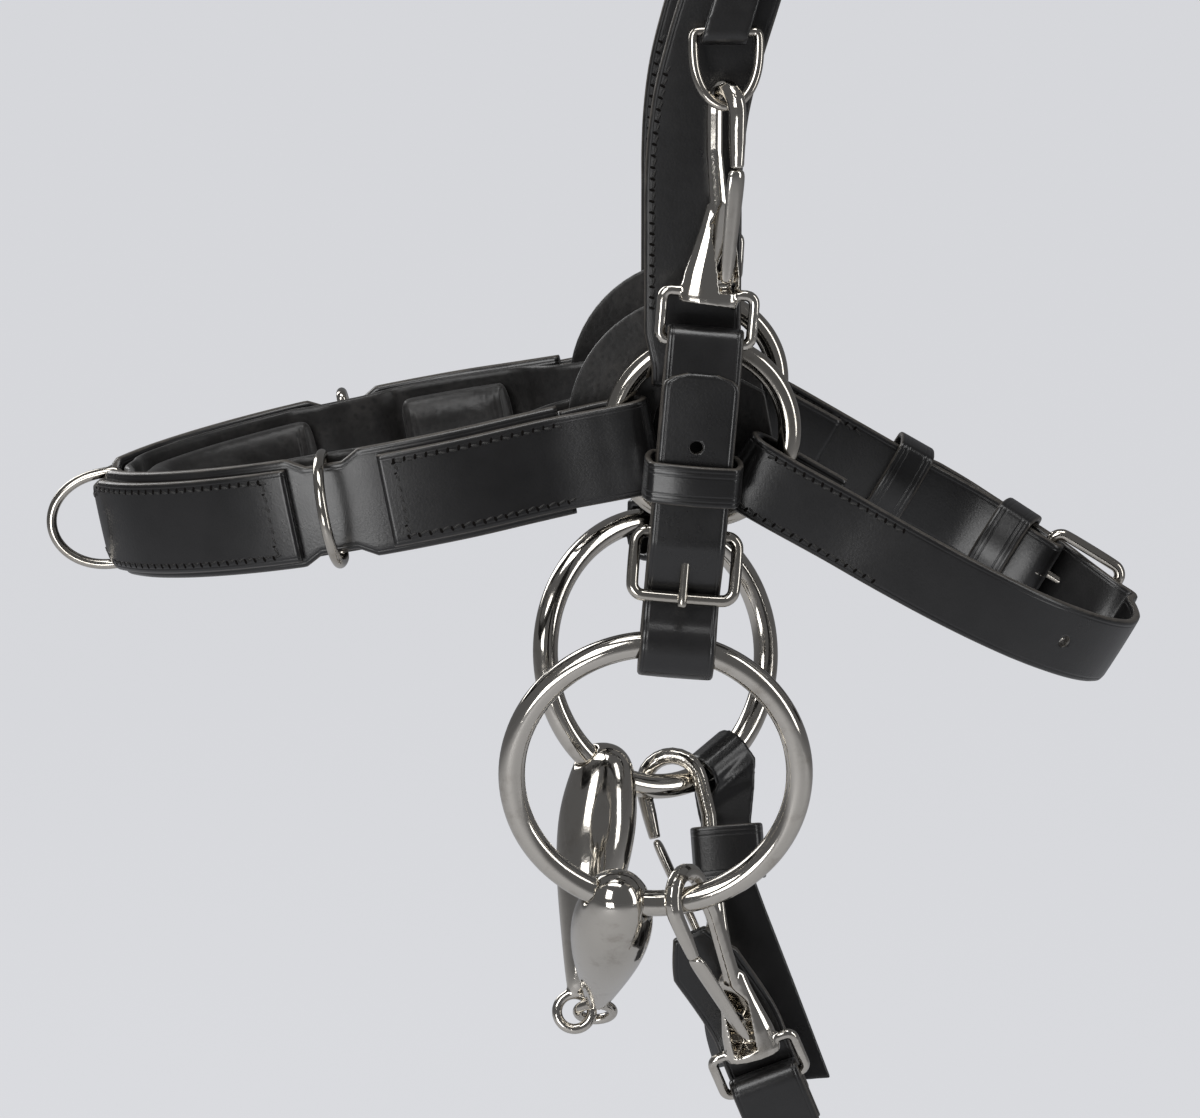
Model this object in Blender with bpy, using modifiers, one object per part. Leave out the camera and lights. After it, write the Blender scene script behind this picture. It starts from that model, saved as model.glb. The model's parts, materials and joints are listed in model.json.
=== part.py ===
"""Lunging cavesson of black leather: padded noseband with three D rings, cheek rings, cheekpieces, headpiece,
chin strap, and a jointed snaffle hung from the cheekpieces by square-eye snaps and buckled bit straps, with a
coupling snapped under the bit. Metres, +Z up, the nose towards -X, the near side towards -Y. The origin is the
underside of the headpiece at the poll."""

import math

import bmesh
import bpy
import numpy as np
from mathutils import Matrix, Vector

# Running gap between neighbours, and how far a cutter overruns what it cuts
GAP = 0.0004
OVERRUN = 0.004

# Leather
STRAP_WIDTH = 0.0196
STRAP_THICK = 0.0022
BASE_WIDTH = 0.029
BASE_THICK = 0.003
OVERLAY_WIDTH = 0.0248
OVERLAY_THICK = 0.0024
LINING_WIDTH = 0.027
LINING_THICK = 0.002
PAD_WIDTH = 0.021
PAD_THICK = 0.006
CHEEK_WIDTH = 0.025
CHEEK_THICK = 0.0024
KEEPER_THICK = 0.0018
KEEPER_HEIGHT = 0.0105

# Cheek rings and where the straps leave them
CHEEK_RING_OUTER = 0.0515
CHEEK_RING_WIRE = 0.006
HALF_SPAN = 0.038
NOSE_SLOPE = math.radians(10.9)
CHIN_SLOPE = math.radians(29.7)
POLL_X = 0.012
POLL_RISE = 0.400

# Noseband plan, from the ring to the middle of the front
NOSE_REACH = 0.160
NOSE_BULGE = 0.0455
NOSE_START = 0.0365
NOSE_LEVEL = -0.0006
NOSE_PLAN_SHARES = ((0.225, 0.855), (0.30, 0.91), (0.40, 0.985), (0.52, 1.0), (0.64, 0.955), (0.76, 0.83),
                    (0.87, 0.62), (0.955, 0.34), (1.0, 0.0))
REAR_OVERLAY_END = 0.086
FRONT_OVERLAY_END = 0.106
SIDE_D_PLACE = 0.0965
NOTCH_HALF = 0.0075
LINING_BACK = 0.018
LINING_RISE = 0.011

# D rings
D_WIRE = 0.0028
D_FORWARD_SHARE = 0.05
D_BULGE_SHARE = 0.72
FRONT_D_HEIGHT = 0.028
FRONT_D_DEPTH = 0.0225
SIDE_D_HEIGHT = 0.0312
SIDE_D_DEPTH = 0.0215
TOP_D_WIDTH = 0.0192
TOP_D_DEPTH = 0.0204
TOP_D_TILT = math.radians(13.6)
TOP_D_WIRE = 0.0026
TOP_D_X = 0.0053
TOP_D_BAR_Z = 0.1045
TOP_D_OUT = 0.0490
CHAPE_THICK = 0.0018
TOP_CHAPE_WIDTH = 0.0118
TOP_CHAPE_RISE = 0.034

# Ring safes
SAFE_OUTER = 0.035
SAFE_INNER = 0.0125
SAFE_THICK = 0.002
SAFE_FROM = math.radians(97)
SAFE_TO = math.radians(176)

# Cheekpiece and headpiece
CHEEK_X = -0.0027
CHEEK_FOLD_WIDTH = 0.0210
CHEEK_RETURN = 0.055
CHEEK_BUCKLE_RISE = 0.285
CHEEK_RETURN_TOP = 0.022
CHEEK_LOW_OUT = 0.0434
CHEEK_LOW_RISE = 0.140
BUCKLE_OUT = 0.0462
ARCH_RADIUS = 0.047
POLL_WIDTH = 0.032
HEAD_BILLET = 0.068
HEAD_KEEPER_DROP = 0.012
CHEEK_BOW_RISE_SHARES = (0.0, 0.19, 0.23, 0.28, 0.36, 0.5, 0.66, 0.82, 1.0)
CHEEK_BOW = 0.0285
CHEEK_BOW_SHARES = (0.0, 0.0, 0.1, 0.32, 0.66, 0.97, 1.0, 0.78, 0.516)

BOW_SPREAD_SHARE = 0.03
TONGUE_CROSS_SHARE = 0.38
BILLET_SLOT_SHARE = 0.70

# Buckles
BUCKLE_WIRE = 0.0032
BUCKLE_SIDE_ROOM = 0.0024
BUCKLE_LENGTH = 0.0165
BUCKLE_RISE = 0.003
TONGUE_WIRE = 0.0024
TONGUE_SLOT = 0.0036
HOLE_RADIUS = 0.0017

# Bit straps and their snaps
HANGER_OUT = 0.054
HANGER_X = 0.0002
EYE_BAR_Z = 0.026
NEAR_LEAN = math.radians(4.8)
FAR_LEAN = math.radians(3.0)
HANGER_BUCKLE_WIDTH = 0.0297
NEAR_PIVOT_DROP = 0.050
FAR_PIVOT_DROP = 0.041
HANGER_RETURN = 0.016
RING_WRAP_ROOM = 0.0014
FAR_WRAP_ROOM = 0.0026
FAR_TIP_CURL = 0.0010
FAR_HANGER_TWIST = math.radians(33)
TWIST_FROM = 0.004
TWIST_TO = 0.020
TIP_DROP = 0.0072
EYE_WIDTH = 0.0264
EYE_TOP = 0.0388
EYE_BAR = 0.003
SNAP_YAW = math.radians(62)
SNAP_TIP = 0.0712
SNAP_BOW = 0.0058
SNAP_CROWN_RISE = -0.0012
SNAP_CROWN_WIRE = 0.0050
SNAP_BOW_WIRE = 0.0046
SNAP_BASE_HEIGHT = 0.019
SNAP_BASE_WIDTH = 0.0155
SNAP_BASE_FLATTEN = 0.5
SNAP_BASE_SHARES = ((-0.08, 0.0), (-0.08, 0.94), (0.0, 1.0), (0.3, 0.92), (0.6, 0.74), (0.85, 0.6), (1.1, 0.5),
                    (1.2, 0.3), (1.22, 0.0))
GATE_WIDTH = 0.0048
GATE_WIRE = 0.0026
GATE_RISE = 0.0035
GATE_SHARES = ((-0.04, 0.0), (-0.03, 0.5), (0.0, 0.72), (0.3, 0.8), (0.7, 0.95), (0.93, 1.0), (0.985, 0.8),
               (1.0, 0.0))

# Bit
BIT_RING_OUTER = 0.0826
BIT_RING_WIRE = 0.007
NEAR_RING_AT = (-0.0119, -0.0455, -0.0906)
FAR_RING_AT = (-0.0102, 0.0465, -0.0800)
NEAR_RING_TILT = math.radians(10.5)
FAR_RING_TILT = math.radians(12.5)
FAR_RING_YAW = math.radians(34.5)
NEAR_HOLE_TURN = math.radians(15.5)
FAR_HOLE_TURN = math.radians(37.5)
JOINT_AT = (-0.0305, 0.0125, -0.1722)
CANNON_RADIUS = 0.0113
CANNON_LENGTH = 0.068
CANNON_PROFILE_SHARES = ((-0.115, 0.0), (-0.105, 0.33), (-0.075, 0.58), (-0.03, 0.74), (0.03, 0.84), (0.11, 0.94),
                         (0.20, 1.0), (0.32, 0.98), (0.46, 0.87), (0.62, 0.67), (0.76, 0.48), (0.86, 0.34),
                         (0.915, 0.24), (0.94, 0.0))
EYE_MAJOR = 0.0050
EYE_WIRE = 0.0034
EYES_APART = 0.0058

# Chin strap: plan from the near cheek ring, then the far side's buckle
CHIN_REACH = 0.1328
CHIN_PLAN_SHARES = ((0.176, 1.0), (0.332, 1.13), (0.557, 1.13), (0.743, 0.97), (0.88, 0.68), (0.96, 0.36),
                    (0.993, 0.05), (1.0, -0.2), (0.994, -0.42))
CHIN_LEVEL = 0.0008
CHIN_ROLL = math.radians(3.6)
CHIN_FOLD_SHARE = 1.05
CHIN_RETURN = 0.040
CHIN_PIVOT = 0.108
CHIN_PIVOT_OUT = 0.0335
CHIN_PIVOT_ALONG_SHARE = 0.75
CHIN_BUCKLE_RETURN = 0.017
CHIN_BUCKLE_LENGTH = 0.0215
CHIN_TIP = 0.055
CHIN_UPPER_KEEPER = 0.064
CHIN_LOWER_KEEPER_BACK = 0.0115
CHIN_HOLES = 2
CHIN_HOLE_SHARES = (0.86, 0.94)

# Coupling
COUPLER_BOW = 0.0075
COUPLER_CROWN_RISE = -0.0001
COUPLER_TIP = 0.0135
NEAR_COUPLER_TURN = math.radians(13.4)
FAR_COUPLER_TURN = math.radians(-1)
FAR_LOOP_TURN = math.radians(26)
NEAR_COUPLER_NOSE = math.radians(238)
FAR_COUPLER_NOSE = math.radians(165)
NEAR_COUPLER_EYE = (0.0190, -0.0216, -0.184)
FAR_COUPLER_EYE = (0.0095, 0.017, -0.179)
FAR_STRAP_END = (0.0320, 0.026, -0.200)
COUPLER_SAFE_DROP = 0.018
COUPLER_SAFE_BACK = 0.006
COUPLER_SAFE_WIDTH = 0.0196
COUPLER_TURN_IN = 0.018
COUPLER_LEAF_LENGTH = 0.038
COUPLER_STRAP_WIDTH = 0.0143
COUPLER_SLEEVE = 0.0156
COUPLER_TAB = 0.014
LEAD_RING_OUTER = 0.034
LEAD_RING_WIRE = 0.0045
LEAD_WRAP_ROOM = 0.002
LEAD_WRAP_WIDTH = 0.012
FAR_LOOP_ROOM = 0.0008
FAR_COUPLER_BOW = 0.0084
FAR_EYE_TURN = math.radians(60)
NEAR_SAFE_ASIDE = 0.0045
SLEEVE_AT = 0.0215
SLEEVE_ROOM = 0.0019
SLEEVE_BOW_SHARE = 0.72
TAB_WIDTH = 0.0145

# How finely curves are stepped, and how near two points are one
ROUND_STEPS = 10
WIRE_SIDES = 2
WELD = 0.000001

SIDES = {"near": -1, "far": 1}
MATERIALS = {
    "black_leather": ((0.022, 0.020, 0.021), 0.0, 0.46),
    "lining_leather": ((0.05, 0.047, 0.044), 0.0, 0.7),
    "nickel_steel": ((0.62, 0.58, 0.52), 1.0, 0.24),
    "polished_steel": ((0.72, 0.71, 0.69), 1.0, 0.12),
}
made = {}


def clear_scene():
    for old in list(bpy.data.objects):
        bpy.data.objects.remove(old)


def collection(name):
    group = bpy.data.collections.new(name)
    bpy.context.scene.collection.children.link(group)
    return group


def material(finish, name):
    """A finish of the piece's own, named after it."""
    colour, metallic, roughness = MATERIALS[finish]
    made_finish = bpy.data.materials.new(name + "_" + finish)
    made_finish.use_nodes = True
    shader = made_finish.node_tree.nodes["Principled BSDF"]
    shader.inputs["Base Color"].default_value = (*colour, 1)
    shader.inputs["Metallic"].default_value = metallic
    shader.inputs["Roughness"].default_value = roughness
    return made_finish


def unit(vector):
    return np.asarray(vector, float) / np.linalg.norm(vector)


class Frame:
    """A place on the object with its own directions: along a strap, out from it, and across it."""

    def __init__(self, origin, along, out):
        self.origin = np.asarray(origin, float)
        self.along = unit(along)
        across = np.cross(self.along, np.asarray(out, float))
        self.across = unit(across)
        self.out = np.cross(self.across, self.along)

    def at(self, along, out, across=0):
        return self.origin + self.along * along + self.out * out + self.across * across

    def matrix(self, along=0, out=0, across=0):
        """Local X runs across, Y out and Z along."""
        turned = np.eye(4)
        turned[:3, 0], turned[:3, 1], turned[:3, 2] = self.across, self.out, self.along
        turned[:3, 3] = self.at(along, out, across)
        if np.linalg.det(turned[:3, :3]) < 0:
            turned[:3, 0] *= -1
        return Matrix(turned.tolist())


def smooth(points, steps):
    """A Catmull-Rom curve through the points, with so many steps between each two."""
    points = np.asarray(points, float)
    ends = np.vstack([2 * points[0] - points[1], points, 2 * points[-1] - points[-2]])
    share = np.linspace(0, 1, steps, endpoint=False)[:, None]
    runs = []
    for before, first, last, after in zip(ends, ends[1:], ends[2:], ends[3:]):
        runs.append(0.5 * (2 * first + (last - before) * share
                           + (2 * before - 5 * first + 4 * last - after) * share ** 2
                           + (3 * first - before - 3 * last + after) * share ** 3))
    return np.vstack([*runs, points[-1:]])


def arc(centre, radius, start, end, steps=ROUND_STEPS):
    turn = np.radians(np.linspace(start, end, steps + 1))
    return np.c_[centre[0] + radius * np.cos(turn), centre[1] + radius * np.sin(turn)]


def offset(path, distance):
    """The path moved sideways by a distance, to its left when it runs along +X."""
    path = np.asarray(path, float)
    heading = np.gradient(path, axis=0)
    heading /= np.linalg.norm(heading, axis=1)[:, None]
    return path + np.c_[-heading[:, 1], heading[:, 0]] * np.reshape(distance, (-1, 1))


def part_object(name, data, group, finish=None):
    piece = bpy.data.objects.new(name, data)
    group.objects.link(piece)
    if finish:
        data.materials.append(material(finish, name))
        made[name] = piece
    return piece


def ribbon(name, group, finish, middles, sideways, width, thickness, holes=()):
    """A flat strip along its middle points, as wide as stated each way along its sideways directions, its
    thickness solidified."""
    half = np.broadcast_to(np.asarray(width, float) / 2, len(middles))[:, None]
    middles, sideways = np.asarray(middles, float), np.asarray(sideways, float)
    rows = np.stack([middles - sideways * half, middles + sideways * half], axis=1).reshape(-1, 3)
    faces = [(2 * i, 2 * i + 1, 2 * i + 3, 2 * i + 2) for i in range(len(middles) - 1)]
    mesh = bpy.data.meshes.new(name)
    mesh.from_pydata([tuple(row) for row in rows], [], faces)
    piece = part_object(name, mesh, group, finish)
    wall = piece.modifiers.new("thickness", "SOLIDIFY")
    wall.thickness = thickness
    wall.offset = 0
    wall.use_even_offset = True
    for cutter in holes:
        cut(piece, cutter)
    return piece


def strap(name, group, finish, frame, path, width, thickness, shift=None, holes=(), twist=None):
    """A flat strap: its middle line in the frame's along and out. Width may be one number or one for each point
    of the path; shift moves each point across, and twist turns it about the frame's along."""
    moved = np.zeros(len(path)) if shift is None else shift
    turns = np.zeros(len(path)) if twist is None else twist
    frames = [yawed(frame, turn) if turn else frame for turn in turns]
    middles = [here.at(*place, aside) for here, place, aside in zip(frames, path, moved)]
    return ribbon(name, group, finish, middles, [here.across for here in frames], width, thickness, holes)


def band(name, group, finish, frame, along, inner_across, inner_out, height, thickness, across=0, out=0):
    """A keeper: a closed band round the strap, its corners rounded by its own thickness."""
    half_across = inner_across / 2 + thickness / 2
    half_out = inner_out / 2 + thickness / 2
    corner = thickness
    ring = []
    for turn, (side_x, side_y) in zip((0, 90, 180, 270), ((1, 1), (-1, 1), (-1, -1), (1, -1))):
        middle = (side_x * (half_across - corner), side_y * (half_out - corner))
        ring.extend(arc(middle, corner, turn, turn + 90, 3))
    count = len(ring)
    points = [tuple(frame.at(along + end * height / 2, out + y, across + x)) for end in (-1, 1) for x, y in ring]
    faces = [(i, (i + 1) % count, count + (i + 1) % count, count + i) for i in range(count)]
    mesh = bpy.data.meshes.new(name)
    mesh.from_pydata(points, [], faces)
    piece = part_object(name, mesh, group, finish)
    wall = piece.modifiers.new("thickness", "SOLIDIFY")
    wall.thickness = thickness
    wall.offset = 0
    wall.use_even_offset = True
    return piece


def as_mesh(piece):
    """The curve made a welded mesh object under the same name."""
    bpy.context.view_layer.update()
    graph = bpy.context.evaluated_depsgraph_get()
    mesh = bpy.data.meshes.new_from_object(piece.evaluated_get(graph))
    weld(mesh)
    name, group = piece.name, piece.users_collection[0]
    solid = bpy.data.objects.new(name + "_mesh", mesh)
    solid.matrix_world = piece.matrix_world.copy()
    group.objects.link(solid)
    bpy.data.objects.remove(piece)
    solid.name = name
    if name in made:
        made[name] = solid
    return solid


def weld(mesh):
    shape = bmesh.new()
    shape.from_mesh(mesh)
    bmesh.ops.remove_doubles(shape, verts=shape.verts, dist=WELD)
    bmesh.ops.recalc_face_normals(shape, faces=shape.faces)
    shape.to_mesh(mesh)
    shape.free()


def wire(name, group, finish, points, diameter, closed=False, sides=WIRE_SIDES):
    """A round wire through points in the object's space, welded into a mesh."""
    curve = bpy.data.curves.new(name, "CURVE")
    curve.dimensions = "3D"
    curve.bevel_depth = diameter / 2
    curve.bevel_resolution = sides
    curve.use_fill_caps = not closed
    line = curve.splines.new("POLY")
    line.points.add(len(points) - 1)
    for place, point in zip(line.points, points):
        place.co = (*point, 1)
    line.use_cyclic_u = closed
    piece = part_object(name, curve, group, finish)
    return as_mesh(piece)


def plate(name, group, finish, matrix, outline, thickness, holes=()):
    """A flat plate: an outline and its holes in local X and Y, as thick as stated along local Z."""
    curve = bpy.data.curves.new(name, "CURVE")
    curve.dimensions = "2D"
    curve.fill_mode = "BOTH"
    curve.extrude = thickness / 2
    for loop in (outline, *holes):
        line = curve.splines.new("POLY")
        line.points.add(len(loop) - 1)
        for place, point in zip(line.points, loop):
            place.co = (point[0], point[1], 0, 1)
        line.use_cyclic_u = True
    piece = part_object(name, curve, group, finish)
    piece.matrix_world = matrix
    bpy.context.view_layer.update()
    piece = as_mesh(piece)
    return apply_place(piece)


def apply_place(piece):
    piece.data.transform(piece.matrix_world)
    piece.matrix_world = Matrix.Identity(4)
    return piece


def ring(name, group, finish, centre, normal, outer, wire_size, around=26, section=8):
    """A round ring about its normal."""
    bpy.ops.mesh.primitive_torus_add(major_radius=(outer - wire_size) / 2, minor_radius=wire_size / 2,
                                     major_segments=around, minor_segments=section)
    piece = bpy.context.object
    piece.name = name
    for old in list(piece.users_collection):
        old.objects.unlink(piece)
    group.objects.link(piece)
    turn = Vector((0, 0, 1)).rotation_difference(Vector(tuple(normal))).to_matrix().to_4x4()
    piece.data.transform(turn)
    piece.data.transform(Matrix.Translation(Vector(tuple(centre))))
    piece.data.shade_smooth()
    if finish:
        piece.data.materials.append(material(finish, name))
        made[name] = piece
    return piece


def box(name, group, frame, along, out, across, sizes, finish=None):
    """A block centred at a place of the frame, its sizes given across, out and along."""
    bpy.ops.mesh.primitive_cube_add(size=1)
    piece = bpy.context.object
    piece.name = name
    for old in list(piece.users_collection):
        old.objects.unlink(piece)
    group.objects.link(piece)
    piece.data.transform(Matrix.Diagonal((*sizes, 1)))
    piece.data.transform(frame.matrix(along, out, across))
    if finish:
        piece.data.materials.append(material(finish, name))
        made[name] = piece
    return piece


def rod(name, group, start, end, radius, sides=10, finish=None):
    """A cylinder between two points."""
    start, end = Vector(tuple(start)), Vector(tuple(end))
    bpy.ops.mesh.primitive_cylinder_add(vertices=sides, radius=radius, depth=(end - start).length)
    piece = bpy.context.object
    piece.name = name
    for old in list(piece.users_collection):
        old.objects.unlink(piece)
    group.objects.link(piece)
    turn = Vector((0, 0, 1)).rotation_difference(end - start).to_matrix().to_4x4()
    piece.data.transform(Matrix.Translation((start + end) / 2) @ turn)
    if finish:
        piece.data.materials.append(material(finish, name))
        made[name] = piece
    return piece


def boolean(piece, other, operation):
    step = piece.modifiers.new(operation.lower() + "_" + other.name, "BOOLEAN")
    step.operation = operation
    step.object = other
    step.solver = "EXACT"
    other.hide_render = True
    other.display_type = "WIRE"
    return piece


def cut(piece, cutter):
    return boolean(piece, cutter, "DIFFERENCE")


def join(piece, other):
    return boolean(piece, other, "UNION")


def d_ring(name, group, centre, bar, reach, height, depth, thick):
    """A D: a straight bar at the centre, legs and a round end reaching out. Depth runs from the bar's middle
    to the outer edge of the round end."""
    centre, bar, reach = np.asarray(centre, float), unit(bar), unit(reach)
    half = (height - thick) / 2
    far = depth - thick / 2
    bulge = far * D_BULGE_SHARE
    corner = thick * 0.6
    flat = [*arc((corner, -half + corner), corner, 180, 270, 3),
            *(np.array((far - bulge, 0)) + np.array((bulge, half)) * arc((0, 0), 1, -90, 90, 12)),
            *arc((corner, half - corner), corner, 90, 180, 3)]
    points = [centre + reach * out + bar * up for out, up in flat]
    return wire(name, group, "nickel_steel", points, thick, closed=True)


def nose_frame():
    return Frame((0, 0, NOSE_LEVEL), (-math.cos(NOSE_SLOPE), 0, -math.sin(NOSE_SLOPE)), (0, -1, 0))


def nose_plan():
    """The base strap's middle line in plan, from its near end round the front to its far end."""
    near = [(along * NOSE_REACH, out * NOSE_BULGE) for along, out in NOSE_PLAN_SHARES]
    far = [(along, -out) for along, out in reversed(near[:-1])]
    return smooth(near + far, 4)


def notched(path, full, narrow, places):
    """A width for each point of a path: full, and narrow within half a notch of the places."""
    widths = np.full(len(path), full)
    for place in places:
        near_it = np.linalg.norm(path - np.asarray(place), axis=1) < NOTCH_HALF
        widths[near_it] = narrow
    return widths


def place_on(path, along, out_sign):
    """The point of a path nearest to a distance along the noseband, on one side."""
    own = path[np.sign(path[:, 1]) == out_sign]
    return own[np.argmin(abs(own[:, 0] - along))]


def chape_fold(half_width, thick, room=0):
    """The fold of a strap round a cheek ring, from its inner layer to its outer one. It is as near the ring's
    middle as its corners need to clear the wire."""
    radius = CHEEK_RING_WIRE / 2 + GAP + thick / 2 + room
    inside = CHEEK_RING_OUTER / 2 - CHEEK_RING_WIRE
    reach = math.sqrt(inside ** 2 - half_width ** 2) - 2 * GAP - thick / 2
    return arc((reach + radius, HALF_SPAN), radius, -90, -270), radius


def mirrored(path):
    return np.asarray(path, float) * (1, -1)


def noseband(group):
    frame = nose_frame()
    plan = nose_plan()
    side_notch = SIDE_D_HEIGHT - 2 * D_WIRE - 5 * GAP
    front_notch = FRONT_D_HEIGHT - 2 * D_WIRE - 5 * GAP
    side_places = [place_on(plan, SIDE_D_PLACE, sign) for sign in (1, -1)]
    front_place = plan[np.argmax(plan[:, 0])]
    widths = np.minimum(notched(plan, BASE_WIDTH, side_notch, side_places),
                        notched(plan, BASE_WIDTH, front_notch, [front_place]))
    strap("noseband_strap", group, "black_leather", frame, plan, widths, BASE_THICK)

    over = BASE_THICK / 2 + GAP + OVERLAY_THICK / 2
    outer = offset(plan, over)
    ahead = outer[outer[:, 0] > FRONT_OVERLAY_END]
    strap("front_overlay", group, "black_leather", frame, ahead,
          notched(ahead, OVERLAY_WIDTH, front_notch, [outer[np.argmax(outer[:, 0])]]), OVERLAY_THICK)
    fold, radius = chape_fold(OVERLAY_WIDTH / 2, OVERLAY_THICK)
    near_run = outer[(outer[:, 1] > 0) & (outer[:, 0] < REAR_OVERLAY_END) & (outer[:, 0] > NOSE_START + D_WIRE)]
    inner_end = (NOSE_START - 2 * GAP, HALF_SPAN - radius + D_WIRE)
    inner_mid = (CHEEK_RING_OUTER / 2 + GAP, HALF_SPAN - radius)
    outer_mid = (CHEEK_RING_OUTER / 2 + GAP, HALF_SPAN + radius + GAP / 2)
    near_rear = np.vstack([inner_end, inner_mid, fold, outer_mid, near_run])
    for side, path in (("near", near_rear), ("far", mirrored(near_rear))):
        strap(side + "_rear_overlay", group, "black_leather", frame, path, OVERLAY_WIDTH, OVERLAY_THICK)

    bar_in = BASE_THICK / 2 + GAP + D_WIRE / 2
    plain = BASE_THICK / 2 + GAP + LINING_THICK / 2
    stepped = bar_in + D_WIRE / 2 + GAP + LINING_THICK / 2
    depths = np.full(len(plan), plain)
    for place in (*side_places, front_place):
        away = np.linalg.norm(plan - place, axis=1)
        depths = np.maximum(depths, plain + (stepped - plain) * np.clip(2 - away / NOTCH_HALF, 0, 1))
    lined = offset(plan, -depths)
    behind_ring = safe_out() - SAFE_THICK / 2 - GAP - LINING_THICK / 2
    back = [(-LINING_BACK, behind_ring), (0, behind_ring), (NOSE_START * 0.62, behind_ring),
            (SAFE_OUTER + 2 * GAP, behind_ring)]
    lined = lined[(lined[:, 0] > NOSE_START + LINING_RISE)]
    lining = np.vstack([smooth(back, 3), lined, mirrored(smooth(back, 3))[::-1]])
    widths = np.full(len(lining), LINING_WIDTH)
    for row, share in enumerate((0.45, 0.8, 0.93)):
        widths[row] = widths[-1 - row] = LINING_WIDTH * share
    strap("noseband_lining", group, "lining_leather", frame, lining, widths, LINING_THICK)

    padded = offset(lining, -(LINING_THICK / 2 + GAP + PAD_THICK / 2))
    spans = {
        "near_rear_pad": (padded[:, 1] > 0) & (padded[:, 0] > NOSE_START + LINING_RISE)
        & (padded[:, 0] < REAR_OVERLAY_END),
        "far_rear_pad": (padded[:, 1] < 0) & (padded[:, 0] > NOSE_START + LINING_RISE)
        & (padded[:, 0] < REAR_OVERLAY_END),
        "front_pad": padded[:, 0] > FRONT_OVERLAY_END,
    }
    for name, chosen in spans.items():
        pad = strap(name, group, "lining_leather", frame, padded[chosen], PAD_WIDTH, PAD_THICK)
        soften = pad.modifiers.new("rounded", "BEVEL")
        soften.width = PAD_THICK * 0.35
        soften.segments = 1
        soften.limit_method = "ANGLE"

    bars = {"front_d_ring": (front_place, FRONT_D_HEIGHT, FRONT_D_DEPTH, 0)}
    bars["near_d_ring"] = (side_places[0], SIDE_D_HEIGHT, SIDE_D_DEPTH, 1)
    bars["far_d_ring"] = (side_places[1], SIDE_D_HEIGHT, SIDE_D_DEPTH, -1)
    for name, (place, height, depth, sign) in bars.items():
        inward = np.array((-1.0, 0.0)) if sign == 0 else np.array((0.0, -float(sign)))
        seat = np.asarray(place) + inward * bar_in
        reach = frame.along if sign == 0 else unit(-frame.out * -sign + frame.along * D_FORWARD_SHARE)
        ring_piece = d_ring(name, group, frame.at(*seat), frame.across, reach, height, depth, D_WIRE)
        pivot_to(ring_piece, frame.at(*seat))


def pivot_to(piece, point):
    """The object's origin moved to its joint's axis, its shape left where it is."""
    piece.data.transform(Matrix.Translation(-Vector(tuple(point))))
    piece.location = Vector(tuple(point))


def cheek_rings(group):
    for side, sign in SIDES.items():
        centre = (0, sign * HALF_SPAN, 0)
        made_ring = ring(side + "_cheek_ring", group, "nickel_steel", centre, (0, 1, 0),
                         CHEEK_RING_OUTER, CHEEK_RING_WIRE)
        pivot_to(made_ring, centre)


def safe_out():
    """A ring safe's middle, just inside the straps folded round the ring."""
    return HALF_SPAN - fold_radius(CHEEK_RING_WIRE, OVERLAY_THICK) - OVERLAY_THICK / 2 - GAP - SAFE_THICK / 2


def ring_safes(group):
    """Quarter fans of leather between the cheekpiece and the noseband, behind the rings."""
    for side, sign in SIDES.items():
        outer = arc((0, 0), SAFE_OUTER, math.degrees(SAFE_FROM), math.degrees(SAFE_TO), 14)
        inner = arc((0, 0), SAFE_INNER, math.degrees(SAFE_TO), math.degrees(SAFE_FROM), 6)
        place = Matrix.Translation((0, sign * safe_out(), 0)) @ Matrix.Rotation(math.pi / 2, 4, "X")
        plate(side + "_ring_safe", group, "lining_leather", place, [*outer, *inner], SAFE_THICK)


def bow_at(rise):
    """How far behind its foot the cheekpiece's middle line lies at a height above the ring."""
    steps = np.array(CHEEK_BOW_RISE_SHARES) * POLL_RISE
    return CHEEK_BOW * np.interp(rise, steps, CHEEK_BOW_SHARES)


def smooth_bow(rises):
    """The bow at each height, evened over the heights about it."""
    spread = POLL_RISE * BOW_SPREAD_SHARE
    return np.mean([bow_at(np.clip(np.asarray(rises) + step * spread, 0, POLL_RISE))
                    for step in (-1, -0.5, 0, 0.5, 1)], axis=0)


def cheek_frame(sign):
    return Frame((CHEEK_X, 0, 0), (0, 0, 1), (0, sign, 0))


def buckle_frame(sign):
    """At the headpiece buckle's pivot bar, upwards."""
    bow = smooth_bow([CHEEK_BUCKLE_RISE, CHEEK_BUCKLE_RISE + BUCKLE_LENGTH]).mean()
    return Frame((CHEEK_X + bow, sign * BUCKLE_OUT, CHEEK_BUCKLE_RISE), (0, 0, 1), (0, sign, 0))


def fold_radius(bar, thick):
    """From a bar's middle to the middle of a strap folded round it."""
    return bar / 2 + GAP + thick / 2


def over_height(thick, billet_thick):
    """From a pivot bar's middle to the middle of a billet that lies over the folded strap."""
    return fold_radius(BUCKLE_WIRE, thick) + thick / 2 + 2 * GAP + billet_thick / 2


def buckle(name, group, frame, inner_width, length=BUCKLE_LENGTH):
    """A rectangle of round wire: the pivot bar through the frame's origin, the far bar beyond it and raised."""
    half = (inner_width + BUCKLE_WIRE) / 2
    corner = BUCKLE_WIRE
    flat = []
    for middle, start in (((corner, half - corner), 90), ((corner, -half + corner), 180),
                          ((length - corner, -half + corner), 270),
                          ((length - corner, half - corner), 0)):
        flat.extend(arc(middle, corner, start, start + 90, 4))
    points = [frame.at(along, BUCKLE_RISE * along / length, across) for along, across in flat]
    return wire(name, group, "nickel_steel", points, BUCKLE_WIRE, closed=True)


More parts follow.
